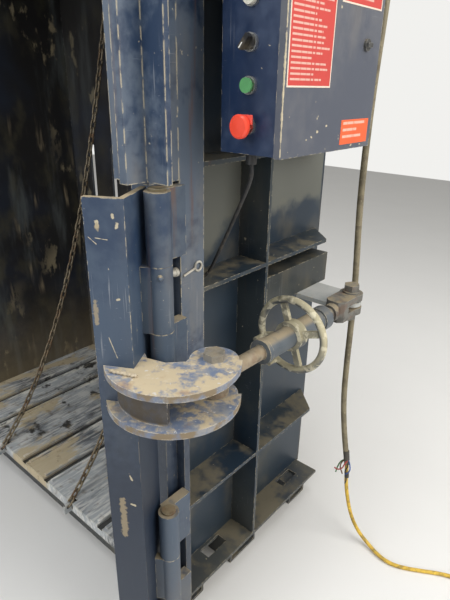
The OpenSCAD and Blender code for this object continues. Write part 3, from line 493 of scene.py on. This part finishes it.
def plate(name, low, high, edge=0.0004, steps=2):
    """A plate between two corners, with rounded edges."""
    low, high = Vector(low), Vector(high)
    clear_selection()
    bpy.ops.mesh.primitive_cube_add(size=1, location=(low + high) / 2)
    obj = named(name)
    obj.scale = high - low
    settle(obj)
    bpy.ops.object.mode_set(mode="EDIT")
    bpy.ops.mesh.select_all(action="SELECT")
    bpy.ops.mesh.bevel(offset=edge, segments=steps, affect="EDGES")
    bpy.ops.object.mode_set(mode="OBJECT")
    return obj


def join(name, pieces):
    clear_selection()
    for piece in pieces:
        piece.select_set(True)
    bpy.context.view_layer.objects.active = pieces[0]
    bpy.ops.object.join()
    obj = named(name)
    return obj


def smooth(obj, angle=40):
    only(obj)
    bpy.ops.object.shade_smooth_by_angle(angle=math.radians(angle))
    return obj


def give(obj, *materials):
    obj.data.materials.clear()
    for material in materials:
        obj.data.materials.append(material)
    return obj


def line(name, points, width, round_steps=4, steps=8):
    """A round cord through points, as a curve of one open spline."""
    data = bpy.data.curves.new(name, "CURVE")
    data.dimensions = "3D"
    data.resolution_u = steps
    data.render_resolution_u = steps
    data.bevel_depth = width / 2
    data.bevel_resolution = round_steps
    data.use_fill_caps = True
    spline = data.splines.new("BEZIER")
    spline.bezier_points.add(len(points) - 1)
    for knot, point in zip(spline.bezier_points, points):
        knot.co = point
        knot.handle_left_type = knot.handle_right_type = "AUTO"
    obj = bpy.data.objects.new(name, data)
    bpy.context.scene.collection.objects.link(obj)
    return obj


def solid_line(name, points, width, round_steps=3, steps=4):
    """The same cord as a mesh."""
    obj = line(name, points, width, round_steps, steps)
    only(obj)
    bpy.ops.object.convert(target="MESH")
    return named(name)


# Cords

SUPPLY_ROUTE = [(716, 100, 2520), (770, 105, 2500), (830, 150, 2380), (856, 215, 2150), (862, 242, 1850),
                (858, 244, 1640), (851, 246, 1420), (852, 248, 1165), (868, 248, 890), (882, 240, 530),
                (926, 230, 300)]
LEAD_ROUTE = [(926, 230, 300), (936, 232, 200), (968, 236, 90), (1027, 240, 20), (1133, 225, 7), (1290, 305, 7),
              (1380, 306, 7), (1440, 306, 7)]
COIL_CENTRE = (1440, 400)
PLUG_TAIL = [(1446, 320.5, 19.5), (1466, 328, 19.6), (1484, 345, 19.8), (1498, 373, 20), (1511, 392, 20),
             (1528, 400, 20)]

# Open cores at the splice: name, colour and bends from the cable's end
SPLICE_CORES = [
    ("Brown core", (0.12, 0.045, 0.02),
     [(0, 0, 0.024), (-0.012, -0.006, 0.01), (-0.017, -0.01, -0.014), (-0.006, -0.012, -0.036)]),
    ("Blue core", (0.03, 0.09, 0.3),
     [(0.002, 0, 0.022), (0.013, -0.006, 0.008), (0.017, -0.011, -0.012), (0.006, -0.014, -0.03)]),
    ("Green core", (0.05, 0.2, 0.05),
     [(-0.004, 0, 0.02), (-0.02, -0.004, 0.002), (-0.027, -0.008, -0.02), (-0.031, -0.01, -0.044)]),
    ("Red core", (0.4, 0.03, 0.03),
     [(0.003, -0.004, 0.02), (-0.002, -0.013, 0.006), (-0.008, -0.018, -0.01), (-0.02, -0.02, -0.02),
      (-0.034, -0.018, -0.022)]),
    ("Black core", (0.015, 0.015, 0.016),
     [(0.0, 0.003, 0.02), (0.008, -0.009, 0.002), (0.003, -0.013, -0.02), (0.01, -0.012, -0.05),
      (0.006, -0.008, -0.072)]),
]
CORE_WIDTH = 0.0042


def even_route(route, parts):
    """The rounded line through a route, as the part's solids follow it, in metres."""
    points = []
    for i in range(len(route) - 1):
        a, b = Vector(route[max(i - 1, 0)]), Vector(route[i])
        c, d = Vector(route[i + 1]), Vector(route[min(i + 2, len(route) - 1)])
        for j in range(parts):
            t = j / parts
            points.append(0.5 * (2 * b + (c - a) * t + (2 * a - 5 * b + 4 * c - d) * t * t
                                 + (3 * b - a - 3 * c + d) * t * t * t) / 1000)
    points.append(Vector(route[-1]) / 1000)
    return points


def coil_points():
    """Turns of the stored lead: two side by side on the floor and two on top of them, then out to the plug."""
    cx, cy = COIL_CENTRE
    points = []
    stages = [(0.0, 94.0, 7.0), (0.2, 83.0, 7.0), (1.0, 81.5, 7.0), (1.25, 69.5, 7.0), (2.0, 69.0, 7.0),
              (2.25, 69.5, 19.5), (3.0, 69.0, 19.5), (3.25, 81.5, 19.5), (3.97, 82.0, 19.5)]
    count = 64
    for i in range(1, count + 1):
        turn = 3.97 * i / count
        for (t0, r0, z0), (t1, r1, z1) in zip(stages, stages[1:]):
            if t0 <= turn <= t1:
                s = (turn - t0) / (t1 - t0)
                s = s * s * (3 - 2 * s)
                r, z = r0 + (r1 - r0) * s, z0 + (z1 - z0) * s
                break
        angle = math.radians(-90 + 360 * turn)
        points.append(Vector((cx + r * math.cos(angle), cy + r * math.sin(angle), z)) / 1000)
    points += [Vector(p) / 1000 for p in PLUG_TAIL]
    return points


class BALER_OT_cords(bpy.types.Operator):
    """Lay the supply cable, its splice and the yellow lead"""
    bl_idname = "baler.cords"
    bl_label = "Cords"

    def execute(self, context):
        sizes = cords()
        supply = line("supply_cable_run", even_route(SUPPLY_ROUTE, 3), sizes.supply_width, 6)
        give(supply, sheath("Dusty grey sheath", tuple(sizes.sheath), 0.5))
        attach(supply, "frame")
        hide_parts("supply_cable")

        lead = line("yellow_lead_run", even_route(LEAD_ROUTE, 4)[:-1] + coil_points(), sizes.lead_width, 5)
        give(lead, sheath("Dirty yellow sheath", tuple(sizes.lead), 0.55))
        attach(lead, "frame")
        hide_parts("yellow_lead", "lead_coil")

        wires = self.splice()
        return {"FINISHED"}

    def splice(self):
        """Open ends of the cores, twisted together where the lead is joined on."""
        x, y, z = (c / 1000 for c in SUPPLY_ROUTE[-1])
        pieces = []
        for name, rgb, bends in SPLICE_CORES:
            core = solid_line(name, [Vector((x + a, y + b, z + c)) for a, b, c in bends], CORE_WIDTH, 2, 5)
            give(core, moulded(name, rgb, 0.45, 0.5))
            pieces.append(core)
        for low, high, width in ((0.016, 0.05, 0.0205), (-0.052, -0.03, 0.0155)):
            down = Vector((0.18, -0.04, -0.98)) if low > 0 else Vector((0.1, 0.02, -0.99))
            start, end = Vector((x, y, z)) - down * high, Vector((x, y, z)) - down * low
            wrap = solid_line("Tape", [start, start.lerp(end, 0.35), start.lerp(end, 0.7), end], width, 4, 3)
            modifier(wrap, "SUBSURF", levels=1, render_levels=1)
            give(wrap, sheath("Tape wrap", (0.05, 0.046, 0.04), 0.4))
            pieces.append(wrap)
        wires = smooth(join("splice_wires", pieces), 50)
        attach(wires, "frame")
        return wires


# Finishes of the solids

BAR_MARKS = [((0.7488, -0.5441, 1.2203), (0.7488, -0.5441, 1.2283), 0.0045),
             ((0.7328, -0.5534, 1.1994), (0.7447, -0.5465, 1.1877), 0.0009),
             ((0.744, -0.5469, 1.1985), (0.763, -0.5359, 1.1964), 0.001),
             ((0.7739, -0.5296, 1.2413), (0.7745, -0.529, 1.236), 0.003),
             ((0.7808, -0.5257, 1.2262), (0.778, -0.527, 1.219), 0.0032),
             ((0.772, -0.5307, 1.0838), (0.776, -0.5285, 1.085), 0.002),
             ((0.7721, -0.5307, 0.6735), (0.775, -0.529, 0.663), 0.0026),
             ((0.77, -0.5319, 0.5942), (0.778, -0.5273, 0.592), 0.0028),
             ((0.7528, -0.5415, 1.004), (0.765, -0.5345, 0.962), 0.0009)]
BAR_DABS = [((0.7488, -0.5441, 1.2203), (0.7488, -0.5441, 1.216), 0.006),
            ((0.7345, -0.5524, 1.075), (0.7345, -0.5524, 1.03), 0.005),
            ((0.7535, -0.5414, 0.6), (0.7535, -0.5414, 0.5), 0.009)]


# Worn paint and dust, and a pool of painted light: each mark is a start, an end and a width on the surface
BOX_EDGE = (0.969, -0.3225)
BOX_EDGE_STARTS = [1.338, 1.362, 1.397, 1.428, 1.452, 1.49, 1.532, 1.56, 1.604, 1.66, 1.7]
BOX_EDGE_MARKS = [((*BOX_EDGE, low), (*BOX_EDGE, low + 0.011 + 0.02 * ((i * 7) % 5)), 0.0016 + 0.0004 * (i % 3))
                  for i, low in enumerate(BOX_EDGE_STARTS)]
DOOR_CHIPS = [((0.969, -0.2439, 1.3602), (0.969, -0.2425, 1.3602), 0.0022),
              ((0.969, -0.2279, 1.3644), (0.969, -0.226, 1.3634), 0.002),
              ((0.969, -0.2086, 1.3719), (0.969, -0.2062, 1.3725), 0.0028),
              ((0.969, -0.1783, 1.3809), (0.969, -0.176, 1.3809), 0.002),
              ((0.969, -0.0757, 1.3398), (0.969, -0.072, 1.3404), 0.0024),
              ((0.969, -0.0364, 1.339), (0.969, -0.034, 1.339), 0.0022)]
# A pool of painted light on the outside of the right wall, below the shelf
WALL_LIGHT_POOL = [((0.67, -0.25, 1.22), (0.67, 0.3, 1.22), 0.13)]
WALL_PATCHES = [((-0.6, 0.03, 1.5), (-0.6, 0.075, 1.42), 0.03), ((-0.6, 0.075, 1.42), (-0.6, 0.1, 1.34), 0.02),
                ((-0.6, 0.31, 1.4), (-0.6, 0.33, 1.15), 0.012)]


class BALER_OT_finishes(bpy.types.Operator):
    """Give every solid its paint, wear and dirt"""
    bl_idname = "baler.finishes"
    bl_label = "Finishes"

    def execute(self, context):
        colours = paint()
        navy = enamel("Navy enamel")
        post = enamel("Post enamel", worn=(0.085, 0.112, 0.155), dust=1.0, chips=1.0, scratches=1.0, runs=0.9,
                      mottle=0.8, edge_width=0.005, foot_shade=0.7)
        # painted shade: ribs, shelves, rails and brackets take the side frame's darker enamel and dust, for the
        # shadow they lie in
        shelf = enamel("Shelf enamel", base=SHADED_ENAMEL, worn=SHADED_WORN, dust=0.5, ledge=0.62, chips=0.8,
                       runs=0.4, mottle=0.4, edge_width=0.0025, low_dirt=0.2, ledge_dust=SHADED_DUST)
        bar = enamel("Latch bar enamel", worn=(0.045, 0.07, 0.112), dust=0.3, low_dirt=0.15, chips=0.6,
                     scratches=0.9, runs=0.15, mottle=0.5, ledge=1.0, marks=BAR_MARKS, dabs=BAR_DABS, foot_shade=0.9)
        hinge = enamel("Hinge enamel", dust=0.6, chips=0.85, runs=0.9, mottle=0.7, edge_width=0.003)
        box = enamel("Box enamel", base=colours.box_enamel, worn=(0.03, 0.05, 0.1), gloss=0.3, dust=0.2, chips=0.5,
                     scratches=0.4, runs=0.0, low_dirt=0.0, mottle=0.2, edge_width=0.0016, marks=BOX_EDGE_MARKS)
        # painted sheen: the door's enamel is set paler and greyer than the box's own, a lit copy standing in for the
        # light the door reflects; its chips, dust and runs are real wear
        door = enamel("Box door enamel", base=(0.075, 0.084, 0.11), worn=(0.105, 0.11, 0.128), gloss=0.34, dust=0.4,
                      chips=0.7, scratches=0.3, runs=0.12, low_dirt=0.0, mottle=0.4, edge_width=0.0022,
                      marks=BOX_EDGE_MARKS + DOOR_CHIPS)
        plain = enamel("Upper enamel", chips=0.3, scratches=0.2, runs=0.1, low_dirt=0.0, ledge=0.8)
        sleeve = enamel("Sleeve enamel", base=(0.045, 0.06, 0.078), worn=(0.085, 0.1, 0.115), gloss=0.45, dust=0.6,
                        chips=0.9, scratches=0.6, runs=0.2, low_dirt=0.0, mottle=0.9, edge_width=0.004)
        link = steel("Chain steel", (0.2, 0.165, 0.115), rusty=0.6, rough=0.5, metal=0.6, dusty=0.6, bright_edges=0.0)
        rusty = steel("Rod steel", (0.3, 0.25, 0.18), rusty=0.35, rough=0.55, metal=0.35, dusty=0.6)
        fork = steel("Fork steel", (0.15, 0.145, 0.13), rusty=0.4, rough=0.6, metal=0.2, dusty=0.8)
        bolt = steel("Bolt steel", (0.34, 0.32, 0.28), rusty=0.3, rough=0.42, metal=0.6, dusty=0.6)
        pins = steel("Pin steel", (0.16, 0.13, 0.075), rusty=0.7, rough=0.6, metal=0.3, dusty=0.6)
        bright = steel("Bright ring steel", (0.6, 0.6, 0.58), rusty=0.0, rough=0.25, metal=0.9, dusty=0.1)
        chrome = steel("Ram steel", (0.62, 0.63, 0.64), rusty=0.0, rough=0.16, metal=1.0, dusty=0.1, bright_edges=0.0)
        jaws = jaw("Jaw dust and enamel")
        beam = enamel("Beam enamel", base=(0.018, 0.024, 0.028), worn=(0.034, 0.038, 0.036), dust=0.7, ledge=0.5,
                      chips=0.8, edge_width=0.0025, ledge_dust=SHADED_DUST)
        bracket = enamel("Bracket enamel", base=(0.33, 0.345, 0.335), worn=(0.43, 0.43, 0.41),
                         dust=0.3, ledge=0.25, chips=0.6, runs=0.0, low_dirt=0.0,
                         ledge_dust=SHADED_DUST)
        wear = {
            "right_wall": chamber("Right wall", 0.7, (1, 0, 0), rubbed=WALL_LIGHT_POOL),
            "left_wall": chamber("Left wall", 1.15, (-1, 0, 0), WALL_PATCHES),
            "back_wall": chamber("Back wall", 0.45, (0, 1, 0)),
            "chamber_floor": bed("Floor plate", 0.6, 0.75),
            "floor_slot_channels": bed("Slot strips", 1.0, 0.45, 0.0),
            "screw_beam": beam, "screw_bracket": bracket, "latch_bar": bar, "latch_pins": pins,
            "jaw_bolt": bolt, "bracket_bolt": fork, "eye_rod": rusty, "fork_rod": fork, "screw_sleeve": sleeve,
            "handwheel": wheel_finish("Wheel enamel"),
            "post_fitting": steel("Fitting steel", (0.5, 0.48, 0.42), rusty=0.15, rough=0.5, metal=0.2, dusty=0.3),
            "control_box": box, "control_box_door": door, "box_bracket": shelf,
            "door_lock": steel("Lock", (0.12, 0.12, 0.115), 0.1, 0.35, 0.6, 0.3),
            "button_bezels": bright, "ram_rod": chrome,
            "pump_motor": moulded("Motor enamel", (0.09, 0.1, 0.115), 0.5, 0.5),
            "panel_gear": moulded("Gear plate", (0.55, 0.53, 0.48), 0.45),
            "pilot_light": moulded("Lamp lens", (0.62, 0.6, 0.52), 0.2),
            "selector": moulded("Black knob", (0.012, 0.012, 0.013), 0.35),
            "cable_gland": moulded("Gland", (0.02, 0.02, 0.021), 0.5),
            "lead_plug": moulded("Plug", (0.03, 0.03, 0.03), 0.45, 0.4),
            "green_button": moulded("Green cap", (0.09, 0.3, 0.11), 0.35, 0.15),
            "stop_button": moulded("Red cap", (0.8, 0.07, 0.035), 0.3, 0.05),
            "control_cable": sheath("Black sheath", (0.012, 0.012, 0.013), 0.4, 0.45),
            "door_ribs": shelf, "bale_door": navy, "feed_gate": navy,
        }
        for finish, nodes in (
                (post, ("right_post", "left_post", "right_jamb", "left_jamb", "right_gate_guide", "left_gate_guide")),
                (shelf, ("right_ribs", "left_ribs", "back_ribs", "base_rails")),
                (hinge, ("latch_bar_knuckles", "latch_frame_knuckles", "door_hinge_knuckles", "door_frame_knuckles")),
                (jaws, ("upper_jaw", "lower_jaw")), (link, ("left_chain", "right_chain")),
                (plain, ("platen", "cylinder", "oil_tank", "front_header", "top_frame"))):
            wear.update((node, finish) for node in nodes)
        for name, node in NODES.items():
            if name in wear:
                give(node, wear[name])
        return {"FINISHED"}


# Forms of the side frame that the solids lack, and the weld beads

def copy_of(node, name):
    """A merged copy of a solid, on the same place."""
    obj = bpy.data.objects.new(name, NODES[node].data.copy())
    obj.data.name = name
    bpy.context.scene.collection.objects.link(obj)
    only(obj)
    bpy.ops.object.mode_set(mode="EDIT")
    bpy.ops.mesh.select_all(action="SELECT")
    bpy.ops.mesh.remove_doubles(threshold=0.000001)
    bpy.ops.object.mode_set(mode="OBJECT")
    return obj


def cut_off(obj, at, away):
    """Takes off what lies past a plane, and closes the cut."""
    only(obj)
    bpy.ops.object.mode_set(mode="EDIT")
    bpy.ops.mesh.select_all(action="SELECT")
    bpy.ops.mesh.bisect(plane_co=at, plane_no=away, use_fill=True, clear_outer=True)
    bpy.ops.object.mode_set(mode="OBJECT")
    return obj


def take_block(obj, block):
    """Takes a block's volume out of a piece."""
    modifier(obj, "BOOLEAN", operation="DIFFERENCE", solver="EXACT", object=block)
    bpy.data.objects.remove(block)
    return obj


class BALER_OT_side_frame(bpy.types.Operator):
    """Cut the rear corners of the shelves and shorten the beam and the back channels"""
    bl_idname = "baler.side_frame"
    bl_label = "Side frame"

    def execute(self, context):
        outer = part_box("right_ribs")[1].x
        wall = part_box("right_wall")[1].x
        for node, name, side in (("right_ribs", "right_shelves", 1), ("left_ribs", "left_shelves", -1)):
            shelves = copy_of(node, name)
            inner_end, outer_end = Vector((wall * side, 0.335, 0)), Vector((outer * side, 0.25, 0))
            away = Vector((0.085 * side, outer - wall, 0)).normalized()
            middle = (inner_end + outer_end) / 2 + away * 0.25 + Vector((0, 0, 1.25))
            block = plate("Corner cutter", (-0.25, -0.25, -1.0), (0.25, 0.25, 1.0), 0.0001, 1)
            block.data.transform(Matrix.Rotation(math.atan2(away.y, away.x), 4, "Z"))
            block.data.transform(Matrix.Translation(middle))
            take_block(shelves, block)
            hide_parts(node)
            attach(shelves, "frame")
        beam = cut_off(copy_of("screw_beam", "screw_channel"), (0, 0.265, 0), (0, 1, 0))
        channels = cut_off(copy_of("back_ribs", "back_channels"), (0.6, 0, 0), (1, 0, 0))
        cut_off(channels, (-0.6, 0, 0), (-1, 0, 0))
        for piece, node in ((beam, "screw_beam"), (channels, "back_ribs")):
            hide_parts(node)
            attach(piece, "frame")
        return {"FINISHED"}


JAW_WELD = [(0.7692, -0.5572, 0.9455), (0.8222, -0.5362, 0.9455)]
WELD_RIPPLES = 22


class BALER_OT_welds(bpy.types.Operator):
    """Lay the weld beads of the latch jaw"""
    bl_idname = "baler.welds"
    bl_label = "Weld beads"

    def execute(self, context):
        start, end = (Vector(p) for p in JAW_WELD)
        across = (end - start).cross(Vector((0, 0, 1))).normalized()
        points = []
        for i in range(WELD_RIPPLES + 1):
            rise = Vector((0, 0, 0.0006 * math.sin(i * 1.3)))
            points.append(start.lerp(end, i / WELD_RIPPLES) + across * (0.0011 * math.sin(i * 2.1)) + rise)
        bead = solid_line("jaw_weld", points, trim().bead_width, 3, 3)
        smooth(bead, 60)
        give(bead, steel("Weld", (0.5, 0.43, 0.32), rusty=0.3, rough=0.7, metal=0.1, dusty=0.6, bright_edges=0.0))
        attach(bead, "latch")
        return {"FINISHED"}


# Fields and trim of the control box

class BALER_OT_box_fields(bpy.types.Operator):
    """Lay the plain coloured fields on the control box door"""
    bl_idname = "baler.box_fields"
    bl_label = "Box fields"

    def execute(self, context):
        colours = trim()
        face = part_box("control_box_door")[1].x
        specs = [("tall_field", -0.316, -0.178, 1.446, 1.655, colours.field_red, 24, 0.0082, 0.0026),
                 ("upper_field", -0.160, -0.007, 1.583, 1.700, colours.field_red, 11, 0.0095, 0.0026),
                 ("small_field", -0.122, -0.009, 1.343, 1.389, colours.field_orange, 3, 0.0125, 0.0)]
        for name, y0, y1, z0, z1, rgb, rows, pitch, border in specs:
            obj = plate(name, (face, y0, z0), (face + 0.0006, y1, z1), 0.0002, 1)
            bpy.ops.object.mode_set(mode="EDIT")
            bpy.ops.mesh.select_all(action="DESELECT")
            bpy.ops.object.mode_set(mode="OBJECT")
            for polygon in obj.data.polygons:
                polygon.select = polygon.normal.x > 0.9
            bpy.ops.object.mode_set(mode="EDIT")
            bpy.ops.mesh.select_mode(type="FACE")
            bpy.ops.mesh.inset(thickness=max(border, 0.0008), depth=0)
            bpy.ops.object.mode_set(mode="OBJECT")
            top = field_finish(name + " colour", tuple(rgb), rows, y0 + 0.008, y1 - 0.008, z0 + 0.008, pitch)
            edge = moulded(name + " edge", tuple(colours.field_edge if border else rgb), 0.4, 0.2)
            give(obj, edge, top)
            for polygon in obj.data.polygons:
                inner = polygon.normal.x > 0.9 and polygon.area > 0.5 * (y1 - y0) * (z1 - z0)
                polygon.material_index = 1 if inner else 0
            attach(obj, "box_door")
        return {"FINISHED"}


class BALER_OT_button_trim(bpy.types.Operator):
    """Add the pointer of the selector and the tab of the stop button"""
    bl_idname = "baler.button_trim"
    bl_label = "Button trim"

    def execute(self, context):
        low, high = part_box("selector")
        centre = (low + high) / 2
        front = low.y
        pointer = plate("selector_pointer", (-0.001, -0.0007, -0.0125), (0.001, 0.0, -0.002), 0.0003, 2)
        pointer.data.transform(Matrix.Rotation(math.radians(40), 4, "Y"))
        pointer.data.transform(Matrix.Translation((centre.x, front, centre.z)))
        give(pointer, moulded("Pointer white", (0.75, 0.74, 0.7), 0.4, 0.1))
        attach(pointer, "selector_knob")

        low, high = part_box("stop_button")
        centre = (low + high) / 2
        tab = plate("stop_tab", (centre.x - 0.006, low.y + 0.012, centre.z + 0.004),
                    (centre.x + 0.021, low.y + 0.0165, centre.z + 0.0195), 0.001, 2)
        give(tab, moulded("Red tab", (0.72, 0.075, 0.05), 0.35, 0.1))
        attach(tab, "emergency_button")
        return {"FINISHED"}


# Stage

CAMERA_AT = (1.47, -1.05, 1.45)
CAMERA_RIGHT = (0.7583, 0.6517, 0.0163)
CAMERA_AHEAD = (-0.5943, 0.7016, -0.3932)
LENS = 20.24


class BALER_OT_stage(bpy.types.Operator):
    """Set up the camera, the lamps and the pale floor"""
    bl_idname = "baler.stage"
    bl_label = "Stage"

    def execute(self, context):
        scene = context.scene
        scene.view_settings.view_transform = "Standard"
        right = Vector(CAMERA_RIGHT).normalized()
        ahead = Vector(CAMERA_AHEAD)
        ahead = (ahead - right * ahead.dot(right)).normalized()
        up = right.cross(ahead)
        data = bpy.data.cameras.new("Camera")
        data.sensor_fit = "VERTICAL"
        data.sensor_height = 24
        data.lens = LENS
        data.clip_start = 0.02
        camera = bpy.data.objects.new("Camera", data)
        x, y, z = CAMERA_AT
        camera.matrix_world = Matrix((
            (right.x, up.x, -ahead.x, x), (right.y, up.y, -ahead.y, y), (right.z, up.z, -ahead.z, z), (0, 0, 0, 1)))
        scene.collection.objects.link(camera)
        scene.camera = camera

        side = scene.baler_stage.window
        lamps = [("Window lamp", (3.6, 0.4, 2.7), (0.7, -0.2, 1.0), 3.0, 190 * side),
                 ("Front lamp", (0.6, -4.2, 3.0), (0.3, 0, 1.0), 3.2, 190 * (1 - side) * 1.5),
                 ("Top lamp", (1.0, -0.6, 5.4), (0.6, 0, 0.8), 2.6, 120),
                 ("Left lamp", (-3.8, -1.2, 2.8), (-0.4, 0, 1.0), 3.0, 60)]
        for name, place, aim, size, power in lamps:
            lamp = bpy.data.lights.new(name, "AREA")
            lamp.shape = "SQUARE"
            lamp.size = size
            lamp.energy = power
            lamp.color = (1.0, 0.975, 0.93) if name == "Window lamp" else (0.96, 0.98, 1.0)
            obj = bpy.data.objects.new(name, lamp)
            obj.location = place
            obj.rotation_euler = (Vector(aim) - Vector(place)).to_track_quat("-Z", "Y").to_euler()
            scene.collection.objects.link(obj)

        world = bpy.data.worlds.new("Pale room")
        world.use_nodes = True
        tree = world.node_tree
        tree.nodes.clear()
        out = tree.nodes.new("ShaderNodeOutputWorld")
        back = tree.nodes.new("ShaderNodeBackground")
        path = tree.nodes.new("ShaderNodeLightPath")
        back.inputs["Color"].default_value = (0.93, 0.925, 0.9, 1)
        either = tree.nodes.new("ShaderNodeMath")
        either.operation = "MAXIMUM"
        tree.links.new(path.outputs["Is Camera Ray"], either.inputs[0])
        tree.links.new(path.outputs["Is Transmission Ray"], either.inputs[1])
        strength = tree.nodes.new("ShaderNodeMapRange")
        tree.links.new(either.outputs[0], strength.inputs["Value"])
        strength.inputs["To Min"].default_value = 0.45
        strength.inputs["To Max"].default_value = 0.95
        tree.links.new(strength.outputs["Result"], back.inputs["Strength"])
        tree.links.new(back.outputs[0], out.inputs[0])
        scene.world = world

        clear_selection()
        bpy.ops.mesh.primitive_plane_add(size=16, location=(0, 0, 0))
        floor = named("studio_floor")
        pale = tuple(scene.baler_stage.floor)
        f = Finish("Studio floor", pale, 0.7)
        f.coat(f.maths("MULTIPLY", f.band(f.grain(2.0, 4.0), 0.4, 0.7), 0.25), tuple(c * 0.94 for c in pale), 0.75)
        give(floor, f.done())
        return {"FINISHED"}


class BALER_PT_panel(bpy.types.Panel):
    """Sizes and colours of the baler's finish"""
    bl_label = "Baler"
    bl_idname = "BALER_PT_panel"
    bl_space_type = "VIEW_3D"
    bl_region_type = "UI"
    bl_category = "Baler"

    def draw(self, context):
        for key in GROUPS:
            group = getattr(context.scene, key)
            box = self.layout.box()
            for name in group.__annotations__:
                box.prop(group, name)
        for operator in OPERATORS:
            self.layout.operator(operator.bl_idname)


OPERATORS = (BALER_OT_stage, BALER_OT_cords, BALER_OT_finishes, BALER_OT_side_frame, BALER_OT_welds,
             BALER_OT_box_fields, BALER_OT_button_trim)
GROUPS = {"baler_paint": BalerPaint, "baler_cords": BalerCords, "baler_trim": BalerTrim, "baler_stage": BalerStage}


def register():
    for name, group in GROUPS.items():
        bpy.utils.register_class(group)
        setattr(bpy.types.Scene, name, bpy.props.PointerProperty(type=group))
    for operator in OPERATORS:
        bpy.utils.register_class(operator)
    bpy.utils.register_class(BALER_PT_panel)


def unregister():
    bpy.utils.unregister_class(BALER_PT_panel)
    for operator in reversed(OPERATORS):
        bpy.utils.unregister_class(operator)
    for name, group in GROUPS.items():
        delattr(bpy.types.Scene, name)
        bpy.utils.unregister_class(group)


def main():
    register()
    bpy.ops.baler.stage()
    bpy.ops.baler.cords()
    bpy.ops.baler.finishes()
    bpy.ops.baler.side_frame()
    bpy.ops.baler.welds()
    bpy.ops.baler.box_fields()
    bpy.ops.baler.button_trim()


if __name__ == "__main__":
    main()
